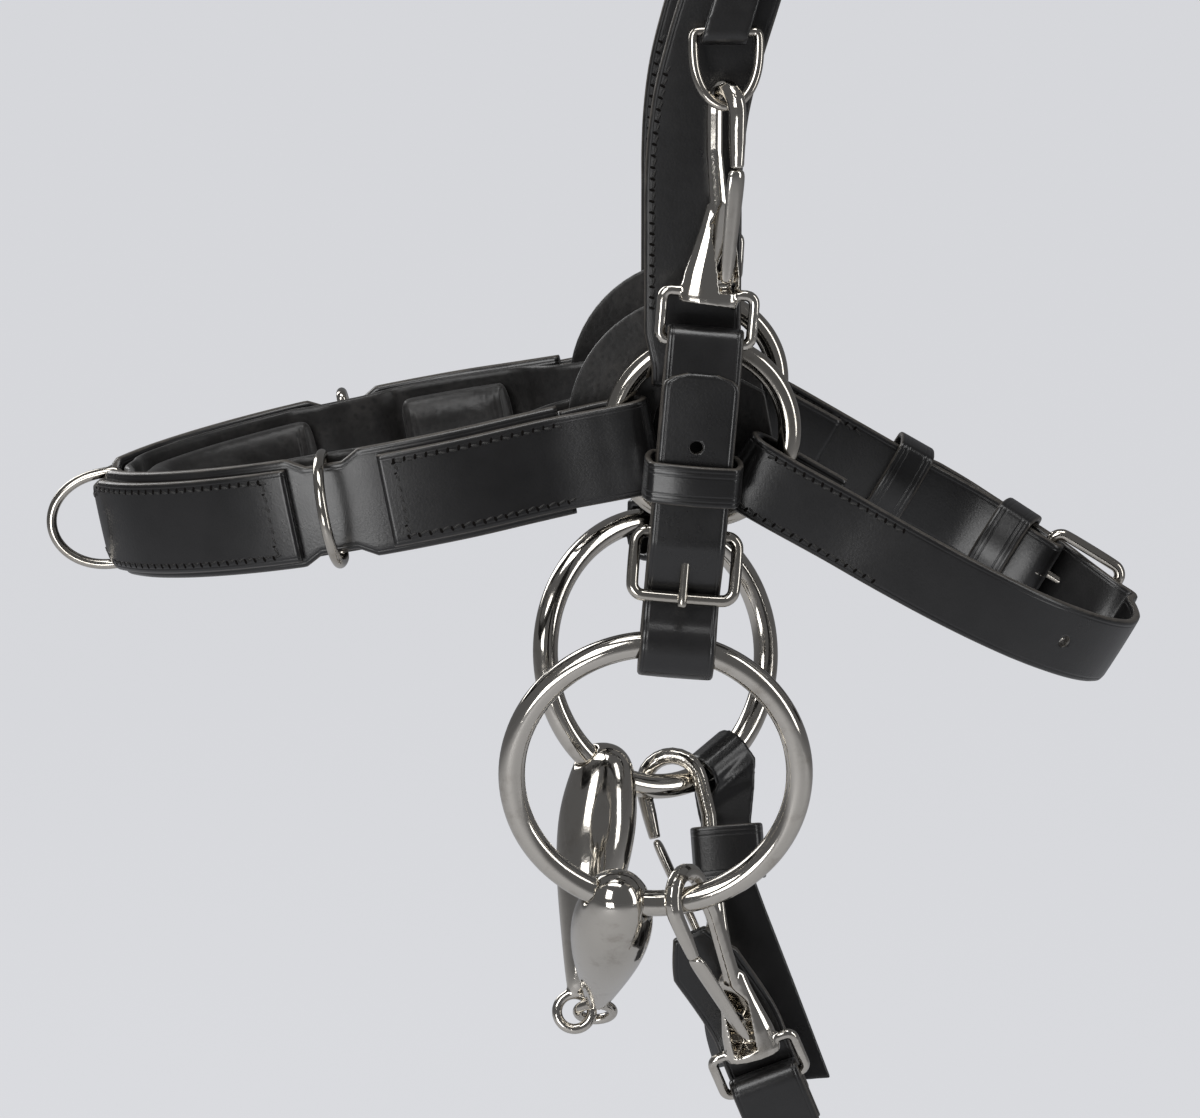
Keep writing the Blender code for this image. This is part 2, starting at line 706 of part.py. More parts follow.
def tongue(name, group, frame, length=BUCKLE_LENGTH):
    """Round the pivot bar, then straight on to rest on the far bar."""
    round_bar = BUCKLE_WIRE / 2 + GAP + TONGUE_WIRE / 2
    loop = arc((0, 0), round_bar, 350, 100, 12)
    rest = (length, BUCKLE_RISE + BUCKLE_WIRE / 2 + GAP + TONGUE_WIRE / 2)
    tip = (length + BUCKLE_WIRE / 2, rest[1])
    points = [frame.at(*place) for place in (*loop, rest, tip)]
    piece = wire(name, group, "nickel_steel", points, TONGUE_WIRE)
    pivot_to(piece, frame.origin)
    return piece


def pivot_slot(name, cutters, frame, thick, length=BUCKLE_LENGTH):
    """Clears the tongue through the strap folded round the pivot bar."""
    reach = BUCKLE_WIRE / 2 + TONGUE_WIRE + 2 * GAP
    tall = 2 * (fold_radius(BUCKLE_WIRE, thick) + thick)
    return box(name, cutters, frame, (length - reach) / 2, 0, 0, (TONGUE_SLOT, tall, length + reach))


def billet_slot(name, cutters, frame, thick, length=BUCKLE_LENGTH):
    """Clears the tongue where it rises through the billet."""
    middle = length * TONGUE_CROSS_SHARE
    return box(name, cutters, frame, middle, over_height(thick, thick) * TONGUE_CROSS_SHARE, 0,
               (TONGUE_SLOT, 9 * thick, length * BILLET_SLOT_SHARE))


def billet_holes(name, cutters, frame, along, out, count, pitch, thick):
    """Round holes down a billet's middle."""
    found = []
    for index in range(count):
        start = frame.at(along - index * pitch, out - thick)
        end = frame.at(along - index * pitch, out + thick)
        found.append(rod(name + "_%d" % index, cutters, start, end, HOLE_RADIUS, 12))
    return found


def cheekpieces(group, cutters):
    radius = fold_radius(BUCKLE_WIRE, CHEEK_THICK)
    for side, sign in SIDES.items():
        frame = cheek_frame(sign)
        top = buckle_frame(sign)
        fold, wrap = chape_fold(CHEEK_FOLD_WIDTH / 2 - CHEEK_X * 0.9, CHEEK_THICK)
        inner = HALF_SPAN - wrap
        outer = HALF_SPAN + wrap
        low = smooth([(fold[0][0] + 2 * wrap, outer), (CHEEK_LOW_RISE * 0.45, outer),
                      (CHEEK_LOW_RISE, CHEEK_LOW_OUT), (CHEEK_BUCKLE_RISE - HEAD_BILLET, BUCKLE_OUT + radius),
                      (CHEEK_BUCKLE_RISE - CHEEK_RETURN_TOP, BUCKLE_OUT + radius)], 6)
        over_bar = arc((CHEEK_BUCKLE_RISE, BUCKLE_OUT), radius, 90, -90, 8)
        path = np.vstack([(CHEEK_RETURN, inner), (fold[0][0] + wrap, inner), fold, low, over_bar,
                          (CHEEK_BUCKLE_RISE - CHEEK_RETURN_TOP, BUCKLE_OUT - radius)])
        widths = np.full(len(path), CHEEK_WIDTH)
        widths[path[:, 0] < fold[0][0] + 2 * wrap] = CHEEK_FOLD_WIDTH
        widths[0] = CHEEK_FOLD_WIDTH
        shift = -sign * smooth_bow(path[:, 0])
        slot = pivot_slot(side + "_cheekpiece_slot", cutters, top, CHEEK_THICK)
        strap(side + "_cheekpiece", group, "black_leather", frame, path, widths, CHEEK_THICK, shift, (slot,))
        buckle(side + "_headpiece_buckle", group, top, CHEEK_WIDTH + 2 * BUCKLE_SIDE_ROOM)
        tongue(side + "_headpiece_tongue", group, top)


def headpiece(group, cutters):
    """Both billets and the crown between them in one strap, through both buckles."""
    over = over_height(CHEEK_THICK, CHEEK_THICK)
    behind = BUCKLE_RISE - BUCKLE_WIRE / 2 - GAP - CHEEK_THICK / 2
    spring = POLL_RISE - ARCH_RADIUS
    near = [(CHEEK_BUCKLE_RISE - HEAD_BILLET, BUCKLE_OUT + over), (CHEEK_BUCKLE_RISE - HEAD_BILLET / 2,
            BUCKLE_OUT + over), (CHEEK_BUCKLE_RISE - BUCKLE_LENGTH * 0.5, BUCKLE_OUT + over),
            (CHEEK_BUCKLE_RISE, BUCKLE_OUT + over), (CHEEK_BUCKLE_RISE + BUCKLE_LENGTH * 0.3, BUCKLE_OUT + over * 0.8),
            (CHEEK_BUCKLE_RISE + BUCKLE_LENGTH * 0.62, BUCKLE_OUT + over * 0.4),
            (CHEEK_BUCKLE_RISE + BUCKLE_LENGTH, BUCKLE_OUT + behind),
            (CHEEK_BUCKLE_RISE + BUCKLE_LENGTH * 1.5, BUCKLE_OUT + behind / 2)]
    arch = arc((spring, 0), ARCH_RADIUS + CHEEK_THICK / 2, 90, -90, 15)
    near = np.vstack([smooth(near, 3), arch[:8]])
    path = np.vstack([near, mirrored(near)[::-1]])
    widths = np.interp(path[:, 0], (spring, POLL_RISE), (CHEEK_WIDTH, POLL_WIDTH))
    widths[0] = widths[-1] = CHEEK_WIDTH * 0.45
    widths[1] = widths[-2] = CHEEK_WIDTH * 0.96
    slots = []
    for side, sign in SIDES.items():
        top = buckle_frame(sign)
        slots.append(billet_slot(side + "_billet_slot", cutters, top, CHEEK_THICK))
        slots.extend(billet_holes(side + "_headpiece_hole", cutters, top, -HEAD_BILLET * 0.45, over, 2,
                                  HEAD_BILLET * 0.22, CHEEK_THICK))
        cheek_keeper(side + "_headpiece_keeper", group, top, HEAD_KEEPER_DROP, over)
    frame = Frame((CHEEK_X, 0, 0), (0, 0, 1), (0, -1, 0))
    strap("headpiece", group, "black_leather", frame, path, widths, CHEEK_THICK, smooth_bow(path[:, 0]), slots)


def cheek_keeper(name, group, frame, drop, over):
    """A keeper round the billet and what lies under it."""
    lowest = -fold_radius(BUCKLE_WIRE, CHEEK_THICK) - CHEEK_THICK / 2 - 2 * GAP
    highest = over + CHEEK_THICK / 2 + 2 * GAP
    lean = smooth_bow([CHEEK_BUCKLE_RISE - drop - KEEPER_HEIGHT, CHEEK_BUCKLE_RISE - drop + KEEPER_HEIGHT])
    aside = lean.mean() + CHEEK_X - frame.origin[0]
    band(name, group, "black_leather", frame, -drop, CHEEK_WIDTH + 6 * GAP, highest - lowest, KEEPER_HEIGHT,
         KEEPER_THICK, aside * np.sign(frame.across[0]), (highest + lowest) / 2)


def top_d_wire(sign):
    """The middle of a top D's bottom wire."""
    reach = TOP_D_DEPTH - TOP_D_WIRE / 2
    return np.array((TOP_D_X, sign * (TOP_D_OUT + reach * math.sin(TOP_D_TILT)),
                     TOP_D_BAR_Z - reach * math.cos(TOP_D_TILT)))


def top_rings(group):
    """The Ds that the bit straps hang from, each in a leather chape on its cheekpiece."""
    for side, sign in SIDES.items():
        reach = (0, sign * math.sin(TOP_D_TILT), -math.cos(TOP_D_TILT))
        bar = (TOP_D_X, sign * TOP_D_OUT, TOP_D_BAR_Z)
        d_ring(side + "_top_d_ring", group, bar, (1, 0, 0), reach, TOP_D_WIDTH, TOP_D_DEPTH, TOP_D_WIRE)
        frame = Frame((TOP_D_X, 0, 0), (0, 0, 1), (0, sign, 0))
        radius = fold_radius(TOP_D_WIRE, CHAPE_THICK)
        fold = arc((TOP_D_BAR_Z, TOP_D_OUT), radius, -90, -270, 8)
        top = TOP_D_BAR_Z + TOP_CHAPE_RISE
        inner = (top, TOP_D_OUT - radius)
        outer = [(TOP_D_BAR_Z + 2 * radius, TOP_D_OUT + radius * 0.8), (TOP_D_BAR_Z + 4 * radius,
                 TOP_D_OUT - radius + CHAPE_THICK + 3 * GAP), (top, TOP_D_OUT - radius + CHAPE_THICK + GAP)]
        path = np.vstack([inner, fold, outer])
        shift = -sign * (smooth_bow(path[:, 0]) - smooth_bow([TOP_D_BAR_Z])[0])
        strap(side + "_top_chape", group, "black_leather", frame, path, TOP_CHAPE_WIDTH, CHAPE_THICK, shift)


def yawed(frame, turn):
    """The same origin and along, its out and across turned about along."""
    out = frame.out * math.cos(turn) + frame.across * math.sin(turn)
    return Frame(frame.origin, frame.along, out)


def hook(name, group, plane, shank, tip, bow, rise):
    """A snap's hook of tapering wire round its plane's origin, then a shank to a point."""
    crown = arc((0, 0), bow, 0, -180, 12)
    places = [plane.at(tip, bow)]
    widths = [0.75]
    places += [plane.at(tip / 2, bow)]
    widths += [0.95]
    for index, (out, along) in enumerate(crown):
        places.append(plane.at(along - rise, out))
        share = math.sin(math.pi * index / (len(crown) - 1))
        widths.append(1 + (SNAP_CROWN_WIRE / SNAP_BOW_WIRE - 1) * share)
    places.append(plane.at(tip * 0.8, -bow))
    widths.append(1.0)
    places.append(np.asarray(shank))
    widths.append(1.1)
    places.append(shank + plane.along * SNAP_BOW_WIRE)
    widths.append(1.1)
    return tapered(name, group, "polished_steel", places, SNAP_BOW_WIRE, widths)


def tapered(name, group, finish, points, diameter, widths, sides=WIRE_SIDES):
    """A round wire whose thickness at each point is a share of its diameter."""
    curve = bpy.data.curves.new(name, "CURVE")
    curve.dimensions = "3D"
    curve.bevel_depth = diameter / 2
    curve.bevel_resolution = sides
    curve.use_fill_caps = True
    line = curve.splines.new("POLY")
    line.points.add(len(points) - 1)
    for place, point, share in zip(line.points, points, widths):
        place.co = (*point, 1)
        place.radius = share
    return as_mesh(part_object(name, curve, group, finish))


def eye_loop(name, group, frame, width, top, diameter):
    """The eye: a straight bar through the frame's origin, square sides and a straight top."""
    half = (width - diameter) / 2
    corner = diameter * 0.7
    flat = [*arc((-corner, -half + corner), corner, 0, -90, 4), *arc((-top + corner, -half + corner), corner, 270,
            180, 4), *arc((-top + corner, half - corner), corner, 180, 90, 4),
            *arc((-corner, half - corner), corner, 90, 0, 4)]
    points = [frame.at(along, 0, across) for along, across in flat]
    return wire(name, group, None, points, diameter, closed=True)


def hanger_frame(side):
    """At the snap's eye bar, along the strap down to the bit ring, out from the cheek."""
    sign = SIDES[side]
    lean = NEAR_LEAN if side == "near" else FAR_LEAN
    along = np.array((-math.sin(lean), 0, -math.cos(lean)))
    out = np.array((0, sign, 0))
    return Frame((HANGER_X, sign * HANGER_OUT, EYE_BAR_Z), along, out)


def hanger_twist(side):
    """How far the bit strap has turned about itself where it reaches its buckle."""
    return 0 if side == "near" else -FAR_HANGER_TWIST


def snap(name, group, cutters, plane, eye, bow, crown_rise, tip):
    """A flat-eyed snap: a hook round its plane's origin, a base that swells to the eye, and the gate in its
    slot. The plane's out points to the hook's nose, and the eye's frame holds the strap's bar."""
    reach = np.dot(eye.origin - plane.origin, plane.along)
    rise = EYE_TOP - EYE_BAR_Z
    base_top = plane.at(reach - rise - SNAP_BASE_HEIGHT, -bow * 0.5)
    body = hook(name + "_body", group, plane, base_top, tip, bow, crown_rise)
    loop = eye_loop(name + "_eye", cutters, eye, EYE_WIDTH, rise, EYE_BAR)
    join(body, loop)
    foot = eye.at(-rise + EYE_BAR / 2, 0)
    axis = Frame(foot, base_top - foot, eye.out)
    height = np.linalg.norm(base_top - foot)
    profile = [(share * height, width * SNAP_BASE_WIDTH / 2) for share, width in SNAP_BASE_SHARES]
    base = turned(name + "_base", cutters, None, axis, profile, SNAP_BASE_FLATTEN)
    join(body, base)
    gate_foot = plane.at(reach - rise - GATE_RISE, bow * 0.1)
    head = plane.at(tip + GAP, bow * 0.98)
    lever = Frame(gate_foot, head - gate_foot, plane.out)
    length = np.linalg.norm(head - gate_foot)
    room = box(name + "_slot", cutters, lever, length / 2 - GATE_WIRE / 2 - GAP, GATE_WIRE, 0,
               (GATE_WIDTH + 3 * GAP, 3 * GATE_WIRE, length + GATE_WIRE))
    inward = box(name + "_swing", cutters, lever, length / 2, -GATE_WIRE, 0,
                 (GATE_WIDTH + 3 * GAP, 2 * GATE_WIRE, length * 0.9))
    cut(body, room)
    cut(body, inward)
    gate = turned(name + "_gate", group, "polished_steel", lever,
                  [(share * length, width * GATE_WIDTH / 2) for share, width in GATE_SHARES],
                  GATE_WIRE / GATE_WIDTH)
    pivot_to(gate, gate_foot)
    return body


def bit_strap_snaps(group, cutters):
    for side, sign in SIDES.items():
        wire_middle = top_d_wire(sign)
        plane = yawed(Frame(wire_middle, (0, 0, -1), (0, sign, 0)), sign * (math.pi / 2 - SNAP_YAW))
        snap(side + "_snap", group, cutters, plane, hanger_frame(side), SNAP_BOW, SNAP_CROWN_RISE,
             wire_middle[2] - SNAP_TIP)


def coupler_plane(side):
    """A coupling snap's hook plane: its origin on the bit ring's wire, its along down to its eye, its out to
    its nose."""
    turn = math.pi - (NEAR_COUPLER_TURN if side == "near" else FAR_COUPLER_TURN)
    eye_at = np.array(NEAR_COUPLER_EYE if side == "near" else FAR_COUPLER_EYE)
    start = ring_point(side, turn)
    nose = NEAR_COUPLER_NOSE if side == "near" else FAR_COUPLER_NOSE
    return Frame(start, eye_at - start, (math.cos(nose), math.sin(nose), 0)), eye_at


def near_coupling(group):
    """The strap behind the near snap: up past its eye, down round the lead ring and back through the eye."""
    radius = fold_radius(EYE_BAR, STRAP_THICK)
    plane, eye_at = coupler_plane("near")
    eye = Frame(eye_at, plane.along, (0, -1, 0))
    wrap = fold_radius(LEAD_RING_WIRE, STRAP_THICK) + LEAD_WRAP_ROOM
    back = -radius - STRAP_THICK - 2 * GAP
    drop = COUPLER_LEAF_LENGTH
    path = np.vstack([
        (-np.linalg.norm(eye_at - plane.origin) + COUPLER_SAFE_DROP, back - COUPLER_SAFE_BACK),
        smooth([(-EYE_TOP * 0.9, back - COUPLER_SAFE_BACK), (-EYE_TOP * 0.45, back - COUPLER_SAFE_BACK),
                (0, back), (drop - wrap, -wrap)], 3), arc((drop, 0), wrap, -90, 90, 8),
        smooth([(drop - 2 * wrap, wrap * 0.9), (wrap, radius)], 3)[:-1], arc((0, 0), radius, 90, 270, 8),
        (COUPLER_TURN_IN, -radius)])
    widths = np.full(len(path), STRAP_WIDTH)
    widths[0] = STRAP_WIDTH * 0.5
    widths[1:3] = COUPLER_SAFE_WIDTH
    widths[path[:, 0] > drop - 3 * wrap] = LEAD_WRAP_WIDTH
    aside = NEAR_SAFE_ASIDE * np.interp(path[:, 0], (-EYE_TOP, -EYE_TOP / 3), (-1, 0)) * np.sign(eye.across[0])
    strap("near_coupler_strap", group, "black_leather", eye, path, widths, STRAP_THICK, aside)
    lead_at = eye.at(drop, 0) + unit(eye.along) * (LEAD_RING_OUTER - LEAD_RING_WIRE) / 2
    lead = ring("lead_ring", group, "nickel_steel", lead_at, eye.out, LEAD_RING_OUTER, LEAD_RING_WIRE, 28, 8)
    pivot_to(lead, eye.at(drop, 0))


def far_coupling(group):
    """The strap folded over the far bit ring, and the sleeve that holds it to the far snap's shank."""
    plane, eye_at = coupler_plane("far")
    end = np.array(FAR_STRAP_END)
    shank = plane.at(SLEEVE_AT, -FAR_COUPLER_BOW * SLEEVE_BOW_SHARE)
    low = plane.at(np.linalg.norm(eye_at - plane.origin) - EYE_TOP + EYE_BAR_Z - SNAP_BASE_HEIGHT,
                   -FAR_COUPLER_BOW * 0.5)
    heading = unit(low - plane.at(COUPLER_TIP * 0.8, -FAR_COUPLER_BOW))
    wide = COUPLER_STRAP_WIDTH + 2 * GAP
    deep = 2 * STRAP_THICK + SNAP_BOW_WIRE + SLEEVE_ROOM + 4 * GAP
    sleeve = Frame(shank, heading, (0, -1, 0))
    right = np.sign(sleeve.across[0])
    sleeve.origin = sleeve.at(0, (SNAP_BOW_WIRE + SLEEVE_ROOM - deep) / 2, right * (wide - SNAP_BOW_WIRE) / 2)
    band("far_coupler_sleeve", group, "black_leather", sleeve, 0, wide + 2 * GAP, deep, COUPLER_SLEEVE,
         KEEPER_THICK)
    rear = -deep / 2 + STRAP_THICK / 2 + GAP
    front = rear + STRAP_THICK + GAP

    normal, _, _ = bit_ring_axes("far")
    start = ring_point("far", math.pi - FAR_LOOP_TURN)
    outward = unit(start - np.array(FAR_RING_AT))
    ahead = -normal * np.sign(normal[1])
    tangent = np.cross(ahead, outward)
    tangent *= np.sign(tangent[0])
    loop = fold_radius(BIT_RING_WIRE, STRAP_THICK) + FAR_LOOP_ROOM
    fold = [start + ahead * x - outward * y for x, y in arc((0, 0), loop, 0, 180, 8)]
    reach = COUPLER_SLEEVE * 0.55
    before = smooth([end, (end + sleeve.at(reach, front)) / 2, *(sleeve.at(reach * share, front)
                     for share in (1, 0.5, 0, -0.5, -1)), fold[0] + outward * loop * 0.5], 3)
    after = smooth([fold[-1] + outward * loop * 0.5, *(sleeve.at(reach * share, rear)
                    for share in (-1, -0.5, 0, 0.5, 1))], 3)
    middles = np.vstack([before, fold, after])
    level = sleeve.across * right
    depth = (middles - sleeve.at(-reach, 0)) @ sleeve.along
    share = np.clip(-depth / np.dot(sleeve.at(-reach, 0) - start, sleeve.along), 0, 1)[:, None]
    share[len(before):len(before) + len(fold)] = 1
    sideways = level * (1 - share) + tangent * share
    sideways /= np.linalg.norm(sideways, axis=1)[:, None]
    ribbon("far_coupler_strap", group, "black_leather", middles, sideways, COUPLER_STRAP_WIDTH, STRAP_THICK)

    radius = fold_radius(EYE_BAR, STRAP_THICK)
    eye = coupler_eye("far")
    tab = np.vstack([(COUPLER_TAB, -radius), arc((0, 0), radius, 270, 90, 8), (COUPLER_TAB * 0.9, radius)])
    strap("far_coupler_tab", group, "black_leather", eye, tab, TAB_WIDTH, STRAP_THICK)


def coupler_eye(side):
    plane, eye_at = coupler_plane(side)
    turn = 0 if side == "near" else FAR_EYE_TURN
    return Frame(eye_at, plane.along, (-math.sin(turn), -math.cos(turn), 0))


def coupling(group, cutters):
    """Two snaps on the bit rings, the strap behind each, a sleeve, and the ring that the lead is clipped to."""
    for side in SIDES:
        plane, _ = coupler_plane(side)
        bow = COUPLER_BOW if side == "near" else FAR_COUPLER_BOW
        snap(side + "_coupler_snap", group, cutters, plane, coupler_eye(side), bow, COUPLER_CROWN_RISE,
             COUPLER_TIP)
    near_coupling(group)
    far_coupling(group)


def hangers(group, cutters):
    """The strap from each snap's eye, through its buckle, round the bit ring and back up as its own billet."""
    over = over_height(STRAP_THICK, STRAP_THICK)
    behind = BUCKLE_RISE - BUCKLE_WIRE / 2 - GAP - STRAP_THICK / 2
    bar = fold_radius(BUCKLE_WIRE, STRAP_THICK)
    eye_bar = fold_radius(EYE_BAR, STRAP_THICK)
    for side, sign in SIDES.items():
        frame = hanger_frame(side)
        pivot = NEAR_PIVOT_DROP if side == "near" else FAR_PIVOT_DROP
        steps = 3 if side == "near" else 6
        tip = TIP_DROP
        most = hanger_twist(side)
        low = ring_top(side)
        drop = np.dot(low - frame.origin, frame.along)
        out = np.dot(low - frame.origin, yawed(frame, most).out)
        rear = -bar - STRAP_THICK - 2 * GAP
        room = RING_WRAP_ROOM if side == "near" else FAR_WRAP_ROOM
        curl = 0 if side == "near" else FAR_TIP_CURL
        wrap = BIT_RING_WIRE / 2 + STRAP_THICK / 2 + room
        path = np.vstack([
            (pivot - HANGER_RETURN, -bar), (pivot - bar / 2, -bar), arc((pivot, 0), bar, -90, 90, 8),
            np.linspace((pivot, bar), (0, eye_bar), 2 * steps)[1:-1], arc((0, 0), eye_bar, 90, 270, 8),
            smooth([(eye_bar * 2.6, -eye_bar - STRAP_THICK * 0.7), (eye_bar * 5, rear), (pivot, rear),
                    (drop - wrap * 2.2, rear * 0.6 + (out - wrap) * 0.4), (drop - wrap * 0.6, out - wrap)], steps),
            arc((drop, out), wrap, -70, 70, 10) + (room, 0),
            smooth([(drop - wrap * 0.6, out + wrap), (pivot + BUCKLE_LENGTH * 1.38, (out + wrap) * 0.36 + behind * 0.64),
                    (pivot + BUCKLE_LENGTH, behind), (pivot + BUCKLE_LENGTH * 0.6, behind + (over - behind) * 0.4),
                    (pivot + BUCKLE_LENGTH * 0.24, over * 0.9), (pivot, over), (pivot - BUCKLE_LENGTH, over),
                    (tip + STRAP_WIDTH * 0.5, over + curl / 2),
                    (tip + STRAP_WIDTH * 0.14, over + curl), (tip, over + curl)], steps)])
        widths = np.full(len(path), STRAP_WIDTH)
        widths[-3:] = STRAP_WIDTH * np.array((0.86, 0.7, 0.4))
        share = np.clip((path[:, 0] - TWIST_FROM) / (TWIST_TO - TWIST_FROM), 0, 1)
        twist = most * share ** 2 * (3 - 2 * share)
        there = yawed(Frame(frame.at(pivot, 0), frame.along, frame.out), most)
        slots = [pivot_slot(side + "_bit_strap_slot", cutters, there, STRAP_THICK),
                 billet_slot(side + "_bit_strap_billet_slot", cutters, there, STRAP_THICK)]
        slots += billet_holes(side + "_bit_strap_hole", cutters, there, -BUCKLE_LENGTH * 0.55, over, 2,
                              BUCKLE_LENGTH * 0.9, STRAP_THICK)
        strap(side + "_bit_strap", group, "black_leather", frame, path, widths, STRAP_THICK, None, slots, twist)
        buckle(side + "_bit_strap_buckle", group, there, HANGER_BUCKLE_WIDTH - 2 * BUCKLE_WIRE)
        tongue(side + "_bit_strap_tongue", group, there)
        lowest, highest = rear - STRAP_THICK / 2 - 2 * GAP, over + STRAP_THICK / 2 + 2 * GAP
        keeper_at = pivot - HANGER_RETURN * 0.9
        band(side + "_bit_strap_keeper", group, "black_leather", yawed(frame, most), keeper_at,
             STRAP_WIDTH + 2 * GAP, highest - lowest, KEEPER_HEIGHT, KEEPER_THICK, 0, (highest + lowest) / 2)


def bit_ring_axes(side):
    """A bit ring's normal, and its top and sideways directions in its own plane."""
    sign = SIDES[side]
    tilt = NEAR_RING_TILT if side == "near" else FAR_RING_TILT
    yaw = 0 if side == "near" else FAR_RING_YAW
    up = np.array((-math.sin(yaw) * math.sin(tilt), sign * math.cos(yaw) * math.sin(tilt), math.cos(tilt)))
    aside = np.array((math.cos(yaw), sign * math.sin(yaw), 0))
    return np.cross(up, aside), up, aside


def ring_point(side, turn):
    """A point of a bit ring's middle line, by its angle from the ring's top towards +X."""
    _, up, aside = bit_ring_axes(side)
    centre = np.array(NEAR_RING_AT if side == "near" else FAR_RING_AT)
    radius = (BIT_RING_OUTER - BIT_RING_WIRE) / 2
    return centre + radius * (up * math.cos(turn) + aside * math.sin(turn))


def ring_top(side):
    """Where the bit strap wraps its ring: the ring's point nearest to the strap's middle plane."""
    frame = yawed(hanger_frame(side), hanger_twist(side))
    turns = np.linspace(-0.6, 0.6, 241)
    points = [ring_point(side, turn) for turn in turns]
    return min(points, key=lambda point: abs(np.dot(point - frame.origin, frame.across)))


def bit_rings(group):
    for side in SIDES:
        normal, _, _ = bit_ring_axes(side)
        centre = NEAR_RING_AT if side == "near" else FAR_RING_AT
        piece = ring(side + "_bit_ring", group, "polished_steel", centre, normal, BIT_RING_OUTER, BIT_RING_WIRE,
                     36, 8)
        pivot_to(piece, centre)


def mouthpiece(group, cutters):
    """Two fat cannons that taper to eyes linked side by side, each run through by its bit ring."""
    holes = {"near": ring_point("near", math.pi + NEAR_HOLE_TURN), "far": ring_point("far", math.pi + FAR_HOLE_TURN)}
    aside = np.array((EYES_APART / 2, 0, 0))
    joint = linked_at(holes["near"] - aside, holes["far"] + aside, CANNON_LENGTH)
    for side, sign in SIDES.items():
        eye_at = joint - sign * aside
        along = unit(eye_at - holes[side])
        frame = Frame(holes[side], along, np.cross(along, (1, 0, 0)))
        profile = [(share * CANNON_LENGTH, width * CANNON_RADIUS) for share, width in CANNON_PROFILE_SHARES]
        body = turned(side + "_cannon", group, "polished_steel", frame, profile)
        eye = ring(side + "_cannon_eye", cutters, None, eye_at, frame.out, 2 * EYE_MAJOR + EYE_WIRE, EYE_WIRE, 16, 8)
        join(body, eye)
        normal, _, _ = bit_ring_axes(side)
        centre = NEAR_RING_AT if side == "near" else FAR_RING_AT
        bore = ring(side + "_cannon_bore", cutters, None, centre, normal, BIT_RING_OUTER + 2 * GAP,
                    BIT_RING_WIRE + 2 * GAP, 36, 8)
        cut(body, bore)


def linked_at(near, far, reach):
    """The point so far from each of two, on the side of them where the joint hangs."""
    across = unit(far - near)
    apart = np.linalg.norm(far - near)
    down = np.array(JOINT_AT) - near
    down = unit(down - across * np.dot(down, across))
    return near + across * apart / 2 + down * math.sqrt(reach ** 2 - (apart / 2) ** 2)


def turned(name, group, finish, frame, profile, flatten=1):
    """A solid of revolution about the frame's along, from a profile of along and radius, then thinned along the
    frame's out."""
    mesh = bpy.data.meshes.new(name)
    mesh.from_pydata([(radius, 0, along) for along, radius in profile], [(i, i + 1) for i in range(len(profile) - 1)],
                     [])
    piece = part_object(name, mesh, group, finish)
    screw = piece.modifiers.new("turned", "SCREW")
    screw.axis = "Z"
    screw.steps = screw.render_steps = 16
    screw.use_merge_vertices = True
    screw.merge_threshold = 10 * WELD
    screw.use_smooth_shade = True
    screw.use_normal_calculate = True
    piece.matrix_world = frame.matrix() @ Matrix.Diagonal((1, flatten, 1, 1))
    bpy.context.view_layer.update()
    return apply_place(as_mesh(piece))


def chin_frame():
    down = np.array((-math.sin(CHIN_SLOPE), 0, -math.cos(CHIN_SLOPE)))
    return Frame(down * CHIN_LEVEL, (math.cos(CHIN_SLOPE), 0, -math.sin(CHIN_SLOPE)),
                 np.array((0, -math.cos(CHIN_ROLL), 0)) + down * math.sin(CHIN_ROLL))


def chin_plan():
    """The billet's middle line from the near cheek ring round the end to the far side's buckle."""
    return smooth(np.array(CHIN_PLAN_SHARES) * (CHIN_REACH, HALF_SPAN), 3)


